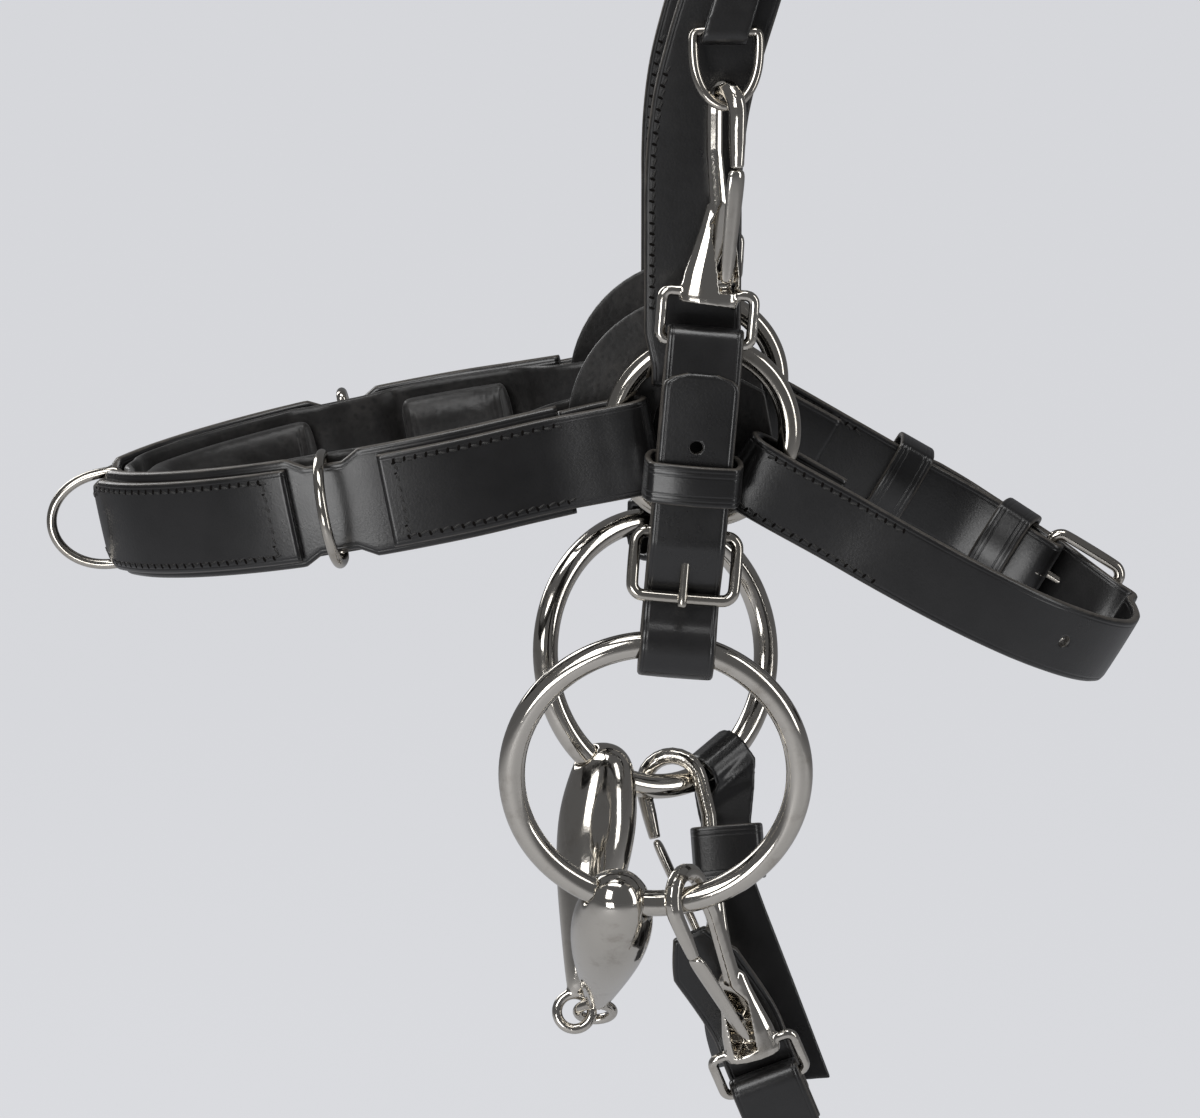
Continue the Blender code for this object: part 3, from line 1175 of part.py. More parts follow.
def chin_strap(group, cutters):
    """Near billet with its holes, far buckle strap, buckle, tongue and two keepers."""
    frame = chin_frame()
    plan = chin_plan()
    lower = CHIN_LEVEL + HALF_SPAN * math.sin(CHIN_ROLL)
    fold, radius = chape_fold((STRAP_WIDTH / 2 + lower) * CHIN_FOLD_SHARE, STRAP_THICK,
                              STRAP_WIDTH / 2 * math.sin(CHIN_ROLL))
    start = (CHEEK_RING_OUTER / 2 + GAP, HALF_SPAN + radius)
    back = [(CHIN_RETURN, HALF_SPAN - radius), (CHEEK_RING_OUTER / 2 + GAP, HALF_SPAN - radius)]
    over = over_height(STRAP_THICK, STRAP_THICK)
    # The far buckle strap runs inside the billet that comes over it
    pivot = np.array((CHIN_PIVOT, -CHIN_PIVOT_OUT))
    bar = fold_radius(BUCKLE_WIRE, STRAP_THICK)
    lean = unit(np.array((1, 0)) * CHIN_PIVOT_ALONG_SHARE + np.array((0, 1)) * (1 - CHIN_PIVOT_ALONG_SHARE))
    aside = np.array((lean[1], -lean[0]))
    local = np.array((lean, aside))
    there = Frame(frame.at(*pivot), frame.along * lean[0] + frame.out * lean[1],
                  frame.along * aside[0] + frame.out * aside[1])

    def off_pivot(points):
        return pivot + np.asarray(points, float) @ local

    strap_fold = off_pivot(arc((0, 0), bar, 90, -90, 8))
    inner_tail = off_pivot([(-CHIN_BUCKLE_RETURN, -bar)])
    outer_tail = off_pivot([(-CHIN_BUCKLE_RETURN * 1.3, bar)])
    far = np.vstack([mirrored(back), mirrored(fold), mirrored([start]),
                     (CHIN_RETURN * 1.15, -HALF_SPAN - radius), (CHIN_RETURN * 1.55, -HALF_SPAN - radius * 0.9),
                     outer_tail, strap_fold, inner_tail])
    slot = pivot_slot("chin_slot", cutters, there, STRAP_THICK, CHIN_BUCKLE_LENGTH)
    strap("chin_buckle_strap", group, "black_leather", frame, far, STRAP_WIDTH, STRAP_THICK, None, (slot,))
    buckle("chin_buckle", group, there, STRAP_WIDTH + BUCKLE_SIDE_ROOM, CHIN_BUCKLE_LENGTH)
    tongue("chin_tongue", group, there, CHIN_BUCKLE_LENGTH)

    behind = BUCKLE_RISE - BUCKLE_WIRE / 2 - GAP - STRAP_THICK / 2
    length = CHIN_BUCKLE_LENGTH
    through = off_pivot(smooth([(length * 1.25, behind * 0.8), (length, behind),
                                (length * 0.6, behind + (over - behind) * 0.4),
                                (length * 0.24, over * 0.9), (0, over), (-CHIN_BUCKLE_RETURN, over),
                                (-CHIN_BUCKLE_RETURN * 1.7, over * 0.98)], 3))
    turn_back = plan[(plan[:, 1] < 0) & (plan[:, 0] > pivot[0] + length * 1.1)]
    front = plan[(plan[:, 1] >= 0) & (plan[:, 0] > CHIN_RETURN * 1.3)]
    end = [(CHIN_TIP + STRAP_WIDTH * share, -HALF_SPAN - radius - over) for share in (0.9, 0.5, 0.14, 0)]
    near = np.vstack([back, fold, start, (CHIN_RETURN * 1.15, HALF_SPAN + radius), front, turn_back, through, end])
    widths = np.full(len(near), STRAP_WIDTH)
    widths[-3:] = STRAP_WIDTH * np.array((0.92, 0.75, 0.4))
    holes = [billet_slot("chin_billet_slot", cutters, there, STRAP_THICK, length)]
    for index in range(CHIN_HOLES):
        place = front[np.argmin(abs(front[:, 0] - CHIN_REACH * CHIN_HOLE_SHARES[index]))]
        holes.append(rod("chin_hole_%d" % index, cutters, frame.at(place[0], place[1] - STRAP_WIDTH / 2),
                         frame.at(place[0], place[1] + STRAP_WIDTH / 2), HOLE_RADIUS, 12))
    strap("chin_billet", group, "black_leather", frame, near, widths, STRAP_THICK, None, holes)
    lowest, highest = -bar - STRAP_THICK / 2 - 2 * GAP, over + STRAP_THICK / 2 + 2 * GAP
    wide = STRAP_WIDTH + 2 * GAP
    band("chin_lower_keeper", group, "black_leather", there, -CHIN_LOWER_KEEPER_BACK, wide, highest - lowest,
         KEEPER_HEIGHT, KEEPER_THICK, 0, (highest + lowest) / 2)
    inner, outer = HALF_SPAN + radius * 0.9 - STRAP_THICK / 2, HALF_SPAN + radius + over + STRAP_THICK / 2
    band("chin_upper_keeper", group, "black_leather", frame, CHIN_UPPER_KEEPER, wide, outer - inner + 6 * GAP,
         KEEPER_HEIGHT, KEEPER_THICK, 0, -(outer + inner) / 2)


def main():
    clear_scene()
    group = collection("lunging_cavesson")
    cutters = collection("cutters")
    cutters.hide_render = True
    cheek_rings(group)
    ring_safes(group)
    noseband(group)
    cheekpieces(group, cutters)
    headpiece(group, cutters)
    top_rings(group)
    bit_strap_snaps(group, cutters)
    hangers(group, cutters)
    bit_rings(group)
    mouthpiece(group, cutters)
    chin_strap(group, cutters)
    coupling(group, cutters)
    root = bpy.data.objects.new("poll", None)
    group.objects.link(root)
    root.location = (-POLL_X, 0, -POLL_RISE)
    for piece in list(bpy.data.objects):
        if piece != root:
            piece.parent = root
    bpy.context.view_layer.update()


main()
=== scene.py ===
"""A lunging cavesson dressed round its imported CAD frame: sewn straps, padded lining, wire rings, buckles,
snap hooks and a jointed bit, in metres and in the frame's own axes."""

import json
import math
from collections import namedtuple

import bmesh
import bpy
import numpy as np
from bpy.props import FloatProperty, FloatVectorProperty, PointerProperty
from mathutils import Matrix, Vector


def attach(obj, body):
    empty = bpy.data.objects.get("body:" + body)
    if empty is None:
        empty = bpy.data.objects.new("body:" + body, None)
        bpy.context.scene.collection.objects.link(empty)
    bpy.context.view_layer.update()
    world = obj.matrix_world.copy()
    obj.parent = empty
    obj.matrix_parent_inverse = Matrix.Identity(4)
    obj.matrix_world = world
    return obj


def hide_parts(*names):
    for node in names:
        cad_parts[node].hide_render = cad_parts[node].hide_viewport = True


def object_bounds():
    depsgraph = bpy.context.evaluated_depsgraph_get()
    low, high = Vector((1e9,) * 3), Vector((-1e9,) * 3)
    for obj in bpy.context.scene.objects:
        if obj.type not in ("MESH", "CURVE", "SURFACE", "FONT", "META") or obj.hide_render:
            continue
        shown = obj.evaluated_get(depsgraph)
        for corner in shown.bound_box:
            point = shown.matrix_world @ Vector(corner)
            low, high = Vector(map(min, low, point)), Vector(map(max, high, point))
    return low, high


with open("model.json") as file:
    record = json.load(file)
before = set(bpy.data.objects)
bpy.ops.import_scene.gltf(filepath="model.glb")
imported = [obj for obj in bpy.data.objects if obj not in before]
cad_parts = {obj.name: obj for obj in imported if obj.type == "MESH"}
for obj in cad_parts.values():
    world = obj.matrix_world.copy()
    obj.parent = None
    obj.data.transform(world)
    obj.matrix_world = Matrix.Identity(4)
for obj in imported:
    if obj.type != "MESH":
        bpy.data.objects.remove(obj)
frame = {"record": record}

bl_info = {
    "name": "Lunging Cavesson",
    "version": (1, 0, 0),
    "blender": (4, 5, 0),
    "location": "View3D > Sidebar > Cavesson",
    "description": "Builds the leather, stitching and metal of a lunging cavesson on its CAD frame",
    "category": "Object",
}

CAD_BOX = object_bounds()
MM = 1e-3
BODY_OF = {node: body for body, nodes in frame["record"]["behaviour"]["bodies"].items() for node in nodes}

# Reading a solid: points within WELD are one, faces within FLAT are one patch, a strap's square end has edges
# past END_SHARP, its long edges are past SHARP, and triangles are paired within PAIRING
LEAST_LENGTH = 1e-12
LEAST_GAP = 1e-7
WELD = 1e-6
MICRON_DIGITS = 6
LEAST_STEP = 0.05 * MM
FLAT, END_SHARP, SHARP, PAIRING = (math.radians(angle) for angle in (1, 40, 60, 40))
# The least cosine of a turn along an edge, the window in which a pointed tip is looked for, the corners on
# each side of it between which that side's direction is taken, and the weight of their running back
LEAST_COSINE = 0.1
TIP_ROOM, TIP_SHARE = 4, 20
TIP_NEAR, TIP_FAR = 3, 7
TIP_WEIGHT = 4
# The points to a span of the edge beneath, and how many of them ahead the nearest one is looked for in
FINE_POINTS, AHEAD = 8, 60
HOLE_REACH = 9.0 * MM

# Leather: distances between samples, and the middle of the head that outer faces look away from
HEAD_MIDDLE = np.array((-0.060, 0.0, 0.0))
STRAP_STEP = 1.2 * MM
FINE_STEP = 0.8 * MM
KEEPER_STEP = 0.6 * MM
# A strap's section: its points, how they crowd, the power of the cosine in its half width, its corner's share
# of the thickness and most of the half width, and the share of the half thickness left at its edge
PROFILE_STEPS = 44
CROWDING = 0.36
SQUARENESS = 0.72
CORNER, CORNER_MOST = 0.42, 0.5
EDGE_SHARE = 0.12
# Ripples: a wave of the distance run whose phase drifts by a slower wave, and the radians per metre at which
# they are full
RIPPLE, RIPPLE_DRIFT, DRIFT = 1.7 * MM, 1.3, 5.1 * MM
FULL_BEND = 40
LINING_CROWN, LINING_RIPPLE = 0.25 * MM, 0.12 * MM
KEEPER_THINNING = 0.88
HOLE_RADIUS = 1.7 * MM
PUNCH_REACH_MM = 2.5
PUNCH_RINGS, PUNCH_SIDES = 6, 32
PLAIN_EDGE = 10 * MM
# Fused pieces: the cells of folds and ring safes, and the rounds of easing and how far each goes
FOLD_GRAIN, SAFE_GRAIN = 0.42 * MM, 0.30 * MM
SNAP_EASE, CANNON_EASE, FOLD_EASE, SAFE_EASE = 7, 20, 14, 6
EASE_SHARE = 0.5
# Pads: rounds of subdivision, the shoulder over which they rise, and their wrinkles
PAD_LEVELS = 3
SHOULDER = 5 * MM
WRINKLES = 5
WRINKLE_LENGTH, WRINKLE_SLANT, WRINKLE_DEPTH = 4.5 * MM, 0.3, 0.16 * MM

# Stitches
STITCH_PITCH = 2.7 * MM
STITCH_SLANT = 0.30
THREAD_SIZE = np.array((2.1, 0.80, 0.66)) * MM
THREAD_LIFT = 0.02 * MM
THREAD_SIDES = 6
DENT_SIZE = np.array((1.55, 0.85, 0.20)) * MM
DENT_LIFT = 0.015 * MM
DENT_AHEAD = 0.62

# Metal: the share of its radius that a wire of eight sides loses to subdivision, a torus's grid, and a
# direction that no ring's axis follows
WIRE_LOSS = 1 - (2 + math.cos(2 * math.pi / 8)) / 3
WIRE_LEVELS = 2
RING_STEPS, RING_SIDES = 128, 24
SLANTING = (0.3, 0.1, 1)

# Looks: the pressed lines' distances from a strap's edge and their reach, the rubbed edge, tones of wear, and
# painted hole shade
PRESSED_LINE, SECOND_LINE, LINE_REACH = 1.45 * MM, 2.75 * MM, 0.42 * MM
RUBBED_REACH = 1.1 * MM
RUBBED_TONE = (0.085, 0.075, 0.064)
TARNISH_TONE, PIT_TONE = (0.20, 0.165, 0.125), (0.05, 0.042, 0.035)
# painted shade: two near-black tones, darker than the leather, that stand in for the shade inside awl dents
# and punched holes
HOLE_SHADE_DARK, HOLE_SHADE_PALE = (0.002, 0.002, 0.002), (0.010, 0.008, 0.007)
NICKEL_TARNISH, STEEL_TARNISH = 0.55, 0.45

# The photograph's camera: focal length and width in pixels, place in metres, pitch in degrees, sensor in mm
PHOTO_FOCAL = 4235
PHOTO_WIDTH = 1200
PHOTO_EYE = (-0.0385, -1.1191, -0.1944)
PHOTO_PITCH = 77.5
SENSOR = 36
# What the camera and glass see of the paper's glow and of the sky, what mirrors see of both, and what the sky
# gives to all rays
PAPER_SEEN, PAPER_GLOW = 0.90, 1.12
SKY_SEEN = 0.95
SKY_GLOSS = 0.16
SKY_FILL = 0.035
FLOOR_REACH = 40.0
# Each lamp's place, what it points at, its width and height in metres, and its power in watts
LAMPS = {
    "key": ((-0.75, -1.15, 0.35), (-0.04, 0.0, -0.45), 0.60, 0.90, 9.0),
    "edge": ((1.05, -0.45, -0.10), (-0.02, 0.0, -0.45), 0.25, 1.20, 3.5),
    "top": ((-0.10, -0.25, 0.80), (-0.04, 0.0, -0.42), 0.90, 0.50, 7.0),
    "low": ((-0.50, -1.05, -0.62), (-0.06, 0.0, -0.45), 0.50, 0.30, 2.6),
    "back": ((-0.85, 0.95, 0.15), (-0.04, 0.0, -0.42), 0.50, 0.90, 6.0),
}

WIREWORK = ("front_d_ring", "near_d_ring", "far_d_ring", "near_top_d_ring", "far_top_d_ring",
            "near_headpiece_buckle", "far_headpiece_buckle", "near_headpiece_tongue", "far_headpiece_tongue",
            "near_bit_strap_buckle", "far_bit_strap_buckle", "near_bit_strap_tongue", "far_bit_strap_tongue",
            "chin_buckle", "chin_tongue")
# Each swept strap's ripple in mm where it bends
STRAPS = {
    "headpiece": 0.03, "near_cheekpiece": 0.03, "far_cheekpiece": 0.03, "noseband_strap": 0.0,
    "front_overlay": 0.0, "near_rear_overlay": 0.0, "far_rear_overlay": 0.0, "near_bit_strap": 0.04,
    "chin_buckle_strap": 0.03, "chin_billet": 0.03, "near_coupler_strap": 0.03, "far_coupler_tab": 0.0,
}
# The short folded straps, each its own solid under one skin
FOLDED = ("near_top_chape", "far_top_chape", "far_bit_strap", "far_coupler_strap")
KEEPERS = ("near_headpiece_keeper", "far_headpiece_keeper", "near_bit_strap_keeper", "far_bit_strap_keeper",
           "chin_lower_keeper", "chin_upper_keeper", "far_coupler_sleeve")
# Each pad's fill, and the seed of its wrinkles
PADS = {"front_pad": (0.55, 11), "near_rear_pad": (0.6, 23), "far_rear_pad": (0.6, 37)}
# Rows of stitches: along both edges or across, first and last share of the run, inset in mm, and plus one for
# the side away from the head
SEWN = {
    "front_overlay": (("along", 0.03, 0.97, 2.6, 1), ("across", 0.04, 0.04, 2.6, 1),
                      ("across", 0.96, 0.96, 2.6, 1)),
    "near_rear_overlay": (("along", 0.50, 0.96, 2.6, 1), ("across", 0.955, 0.955, 2.6, 1)),
    "far_rear_overlay": (("along", 0.50, 0.96, 2.6, 1), ("across", 0.955, 0.955, 2.6, 1)),
    "near_cheekpiece": (("along", 0.64, 0.81, 2.4, 1),),
    "far_cheekpiece": (("along", 0.64, 0.81, 2.4, 1), ("along", 0.64, 0.81, 2.4, -1)),
    "chin_billet": (("along", 0.135, 0.28, 2.4, 1),),
    "chin_buckle_strap": (("along", 0.56, 0.80, 2.4, -1), ("along", 0.56, 0.80, 2.4, 1)),
}

Route = namedtuple("Route", "thick points heading side up width run")

# Curves and surfaces


def unit(rows):
    """Each row divided by its own length."""
    rows = np.asarray(rows, float)
    return rows / np.maximum(np.linalg.norm(rows, axis=-1, keepdims=True), LEAST_LENGTH)


def along_curve(rows, step, closed=False):
    """Rows sampled every step along a cubic through them: on each span a Hermite cubic whose slope at a point
    is the mean of the two chords' slopes, each weighted by the other's length. A closed line is carried past
    its ends by its own rows, and sampled once round."""
    rows = np.asarray(rows, float)
    if closed:
        rows = np.vstack([rows[-3:], rows, rows[:4]])
    gaps = np.maximum(np.linalg.norm(np.diff(rows[:, :3], axis=0), axis=1), LEAST_GAP)
    place = np.r_[0, np.cumsum(gaps)]
    slopes = np.diff(rows, axis=0) / gaps[:, None]
    inner = (slopes[:-1] * gaps[1:, None] + slopes[1:] * gaps[:-1, None]) / (gaps[:-1] + gaps[1:])[:, None]
    tangents = np.vstack([slopes[:1], inner, slopes[-1:]])
    first, last = (place[3], place[-4]) if closed else (0, place[-1])
    count = max(int(round((last - first) / step)), 4)
    at = np.linspace(first, last, count + 1)
    span = np.clip(np.searchsorted(place, at, side="right") - 1, 0, len(gaps) - 1)
    share = ((at - place[span]) / gaps[span])[:, None]
    width = gaps[span][:, None]
    curve = (rows[span] * (2 * share ** 3 - 3 * share ** 2 + 1)
             + tangents[span] * width * (share ** 3 - 2 * share ** 2 + share)
             + rows[span + 1] * (3 * share ** 2 - 2 * share ** 3)
             + tangents[span + 1] * width * (share ** 3 - share ** 2))
    return curve[:-1] if closed else curve


def headings(points, closed=False):
    """The unit tangent at each point, from its neighbours."""
    if closed:
        return unit(np.roll(points, -1, axis=0) - np.roll(points, 1, axis=0))
    return unit(np.gradient(points, axis=0))


def run_of(points):
    """The distance run at each point, from the first one on."""
    return np.r_[0, np.cumsum(np.linalg.norm(np.diff(points, axis=0), axis=1))]


def skin_faces(rows, columns, closed):
    """The quads round a row of closed cross-sections, counted section by section, and a flat face at each end
    where the row is open."""
    down = np.arange(rows if closed else rows - 1)
    i, j = np.meshgrid(down, np.arange(columns), indexing="ij")
    after_i, after_j = (i + 1) % rows, (j + 1) % columns
    quads = np.stack([i * columns + j, i * columns + after_j, after_i * columns + after_j,
                      after_i * columns + j], axis=-1).reshape(-1, 4).tolist()
    if closed:
        return quads
    last = (rows - 1) * columns
    return quads + [list(range(columns))[::-1], list(range(last, last + columns))]


def mesh_piece(name, points, faces, material, values=None):
    """A smooth-shaded object at the origin from points and faces, turned to face outward, with named values
    kept for its points."""
    mesh = bpy.data.meshes.new(name)
    mesh.from_pydata(np.asarray(points).tolist(), [], [list(face) for face in faces])
    for key, numbers in (values or {}).items():
        kept = mesh.attributes.new(key, "FLOAT", "POINT")
        kept.data.foreach_set("value", np.asarray(numbers, np.float32).ravel())
    work = bmesh.new()
    work.from_mesh(mesh)
    if work.calc_volume(signed=True) < 0:
        bmesh.ops.reverse_faces(work, faces=work.faces)
        work.to_mesh(mesh)
    work.free()
    mesh.shade_smooth()
    mesh.materials.append(material)
    piece = bpy.data.objects.new(name, mesh)
    bpy.context.scene.collection.objects.link(piece)
    return piece


def swept(name, sections, material, closed=False, values=None):
    """A skin over a row of cross-sections, each one closed, with flat ends where the row is open."""
    rows, columns = sections.shape[:2]
    return mesh_piece(name, sections.reshape(-1, 3), skin_faces(rows, columns, closed), material, values)


def worn_by(piece, node, replaces=True):
    """Fixes a piece to the body of a CAD node, and hides the node it stands for."""
    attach(piece, BODY_OF[node])
    if replaces:
        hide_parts(node)
    return piece


# The frame's own shapes


def merged(node):
    """A CAD node's mesh with its coincident points made one."""
    work = bmesh.new()
    work.from_mesh(bpy.data.objects[node].data)
    bmesh.ops.remove_doubles(work, verts=work.verts, dist=WELD)
    bmesh.ops.recalc_face_normals(work, faces=work.faces)
    return work


def coordinates(vertices):
    """The places of some corners, one row each."""
    return np.array([vertex.co[:] for vertex in vertices])


def square_ends(work):
    """The flat ends of a cut strap, as rim and inward heading: each a flat patch of four corners whose every
    edge is sharp and proud. The widest comes first, of two alike the one further back, and of two alike in
    that too the nearer one."""
    found, left = [], set(work.faces)
    while left:
        patch, edge = set(), [left.pop()]
        while edge:
            face = edge.pop()
            patch.add(face)
            for side in face.edges:
                for other in side.link_faces:
                    if other in left and side.calc_face_angle(0) < FLAT:
                        left.discard(other)
                        edge.append(other)
        rim = {side for face in patch for side in face.edges if set(side.link_faces) - patch}
        if len(rim) == 4 and all(side.calc_face_angle(0) > END_SHARP and side.is_convex for side in rim):
            area = sum(face.calc_area() for face in patch)
            back = max(vertex.co.x for side in rim for vertex in side.verts)
            near = max(-vertex.co.y for side in rim for vertex in side.verts)
            rank = (round(area / MM ** 2), round(back, 4), round(near, 4))
            found.append((rank, rim, -next(iter(patch)).normal))
    return [end[1:] for end in sorted(found, key=lambda end: end[0], reverse=True)]


def sharp_line(start, heading):
    """The corners along a strap's edge: from each the sharp edge that turns least, until all of them turn
    away or the line is back at its start."""
    line, here = [start], start
    while True:
        ways = []
        for side in here.link_edges:
            there = side.other_vert(here)
            turn = heading.dot((there.co - here.co).normalized())
            if side.calc_face_angle(0) > SHARP and there not in line[-2:] and turn > LEAST_COSINE:
                ways.append((turn, there.index, there))
        if not ways:
            return line
        there = max(ways)[2]
        if there is line[0]:
            return line
        heading = (there.co - here.co).normalized()
        here = there
        line.append(here)


def facing_lines(start, across, heading):
    """The two edges of one face of a strap. Round a pointed tip the first edge comes back as the second."""
    first = sharp_line(start, heading)
    if first[-1] is not across:
        return first, sharp_line(across, heading)
    points = coordinates(first)
    half, room = len(points) // 2, TIP_ROOM + len(points) // TIP_SHARE
    tip = min((square_to(points, i), i) for i in range(half - room, half + room))[1]
    return first[:tip + 1], first[tip + 1:][::-1]


def square_to(points, i):
    """How far the step from one corner to the next is from square to the strap on both sides of its tip, and
    how far the second side is from running straight back beside the first."""
    before = unit(points[i - TIP_NEAR] - points[i - TIP_FAR])
    after = unit(points[i + 1 + TIP_FAR] - points[i + 1 + TIP_NEAR])
    way = unit(points[i + 1] - points[i])
    return abs(way @ before) + abs(way @ after) + TIP_WEIGHT * (1 + before @ after)


def across_from(guide, line):
    """The points of one edge as far along as another's corners are along theirs."""
    runs = [run_of(edge) for edge in (guide, line)]
    at = runs[0] * runs[1][-1] / runs[0][-1]
    return np.stack([np.interp(at, runs[1], column) for column in line.T], axis=-1)


def beside(guide, line):
    """For each point of one edge the nearest on the edge under it, never going back."""
    spans = [np.linspace(start, end, FINE_POINTS, endpoint=False) for start, end in zip(line, line[1:])]
    fine = np.vstack(spans + [line[-1:]])
    at, found = 0, []
    for corner in guide:
        at += int(np.argmin(np.linalg.norm(fine[at:at + AHEAD] - corner, axis=1)))
        found.append(fine[at])
    return np.array(found)


def strap_of(node):
    """What a strap of the frame is made of, read from its solid: its thickness, its route as rows of place,
    width and sideways direction from its widest square end on, and the middles of its punched holes."""
    work = merged(node)
    rim, heading = square_ends(work)[0]
    corner = min((vertex for side in rim for vertex in side.verts), key=lambda vertex: tuple(vertex.co))
    reach = sorted(((side.calc_length(), side.other_vert(corner)) for side in rim if corner in side.verts),
                   key=lambda pair: pair[0])
    under, across = reach[0][1], reach[1][1]
    other = next(vertex for side in rim for vertex in side.verts if vertex not in (corner, under, across))
    lines = [*facing_lines(corner, across, heading), *facing_lines(under, other, heading)]
    holes = punched(work, {vertex for line in lines for vertex in line})
    lines = [coordinates(line) for line in lines]
    work.free()
    near, far, low_near, low_far = lines
    if len({len(line) for line in lines}) > 1:
        far = across_from(near, far)
        low_near, low_far = beside(near, low_near), beside(far, low_far)
    spread = (near - far + low_near - low_far) / 2
    width = np.linalg.norm(spread, axis=1)
    thick = np.median(np.linalg.norm(near - low_near, axis=1))
    rows = np.c_[(near + far + low_near + low_far) / 4, width, spread / width[:, None]]
    steps = np.linalg.norm(np.diff(rows[:, :3], axis=0), axis=1)
    return thick, rows[np.r_[True, steps > LEAST_STEP]], holes


def punched(work, edges):
    """The middles of the small round holes in a strap: the groups of joined corners that lie on none of its
    edges and reach no further than a hole does."""
    middles, left = [], set(work.verts) - edges
    while left:
        group, edge = set(), [left.pop()]
        while edge:
            vertex = edge.pop()
            group.add(vertex)
            for side in vertex.link_edges:
                other = side.other_vert(vertex)
                if other in left:
                    left.discard(other)
                    edge.append(other)
        points = coordinates(group)
        if np.linalg.norm(np.ptp(points, axis=0)) < HOLE_REACH:
            middles.append((points.max(0) + points.min(0)) / 2)
    return sorted(middles, key=tuple)


def band_of(node):
    """A keeper's four sharp loops, read from its solid."""
    work = merged(node)
    loops, left = [], set(work.verts)
    while left:
        start = min(left, key=lambda vertex: tuple(vertex.co))
        side = next(side for side in start.link_edges if side.calc_face_angle(0) > SHARP
                    and side.other_vert(start) in left)
        loop = sharp_line(start, (side.other_vert(start).co - start.co).normalized())
        left -= set(loop)
        loops.append(coordinates(loop))
    work.free()
    return loops


def ring_of(node):
    """A round ring's centre, normal, outside diameter and wire, measured on its solid."""
    corners = coordinates(bpy.data.objects[node].data.vertices)
    points = np.unique(np.round(corners, MICRON_DIGITS), axis=0)
    centre = points.mean(0)
    normal = np.linalg.svd(points - centre, full_matrices=False)[2][2]
    rise = (points - centre) @ normal
    reach = np.linalg.norm(points - centre - rise[:, None] * normal, axis=1)
    return centre, normal, 2 * reach.max(), reach.max() - reach.min()


# Metal


def ring_sections(centre, normal, outer, wire):
    """A torus: a circle of the wire's radius carried round the ring's middle line."""
    normal = unit(normal)
    start = unit(np.cross(normal, SLANTING))
    other = np.cross(normal, start)
    turn = np.linspace(0, 2 * np.pi, RING_STEPS, endpoint=False)[:, None]
    outward = start * np.cos(turn) + other * np.sin(turn)
    middle = np.asarray(centre) + outward * (outer - wire) / 2
    swing = np.linspace(0, 2 * np.pi, RING_SIDES, endpoint=False)
    return middle[:, None] + (outward[:, None] * np.cos(swing)[None, :, None]
                              + normal * np.sin(swing)[None, :, None]) * wire / 2


def settled(piece):
    """The piece with its modifiers made part of its mesh."""
    bpy.context.view_layer.update()
    graph = bpy.context.evaluated_depsgraph_get()
    mesh = bpy.data.meshes.new_from_object(piece.evaluated_get(graph))
    old = piece.data
    piece.modifiers.clear()
    piece.data = mesh
    bpy.data.meshes.remove(old)
    mesh.shade_smooth()
    return piece


def copied(node, name, material):
    """A CAD node's own shape as a new piece: its coincident points made one and its triangles paired."""
    work = merged(node)
    bmesh.ops.join_triangles(work, faces=work.faces, angle_face_threshold=PAIRING,
                             angle_shape_threshold=PAIRING)
    mesh = bpy.data.meshes.new(name)
    work.to_mesh(mesh)
    work.free()
    mesh.shade_smooth()
    mesh.materials.append(material)
    piece = bpy.data.objects.new(name, mesh)
    bpy.context.scene.collection.objects.link(piece)
    return piece


def fused(piece, voxel, smoothing):
    """One skin round a cast piece, with its corners eased."""
    blend = piece.modifiers.new("fuse", "REMESH")
    blend.mode = "VOXEL"
    blend.voxel_size = voxel
    ease = piece.modifiers.new("ease", "SMOOTH")
    ease.factor = EASE_SHARE
    ease.iterations = smoothing
    return settled(piece)


def subdivided(piece, levels):
    """Adds rounds of subdivision to a piece."""
    smooth = piece.modifiers.new("round", "SUBSURF")
    smooth.levels = smooth.render_levels = levels


def rounded(piece, wire):
    """A bent wire's facets rounded by subdivision, and pushed out by what an eight-sided wire loses to it."""
    subdivided(piece, WIRE_LEVELS)
    push = piece.modifiers.new("push", "DISPLACE")
    push.mid_level = 0
    push.strength = wire / 2 * WIRE_LOSS
    return settled(piece)


def wire_size(node):
    """A bent wire's diameter: four times its volume over its surface."""
    work = merged(node)
    size = 4 * work.calc_volume() / sum(face.calc_area() for face in work.faces)
    work.free()
    return size


# Leather


def route_of(node, step=STRAP_STEP):
    """A strap's thickness, and its route sampled evenly: place, heading, sideways and upward directions,
    width, and distance run."""
    thick, rows, _ = strap_of(node)
    place = run_of(rows[:, :3])
    points = along_curve(rows[:, :3], step)
    at = np.linspace(0, place[-1], len(points))
    width, *side = (np.interp(at, place, column) for column in rows[:, 3:].T)
    heading = headings(points)
    side = unit(np.stack(side, axis=-1))
    side = unit(side - heading * np.sum(side * heading, axis=1, keepdims=True))
    return Route(thick, points, heading, side, np.cross(heading, side), width, run_of(points))


def outer_sign(points, up, part=slice(None)):
    """Plus one where a strap's upward direction points away from the head's middle line, else minus one."""
    away = points[part] - (points[part] * (0, 0, 1) + HEAD_MIDDLE)
    return 1 if np.sum(away * up[part]) > 0 else -1


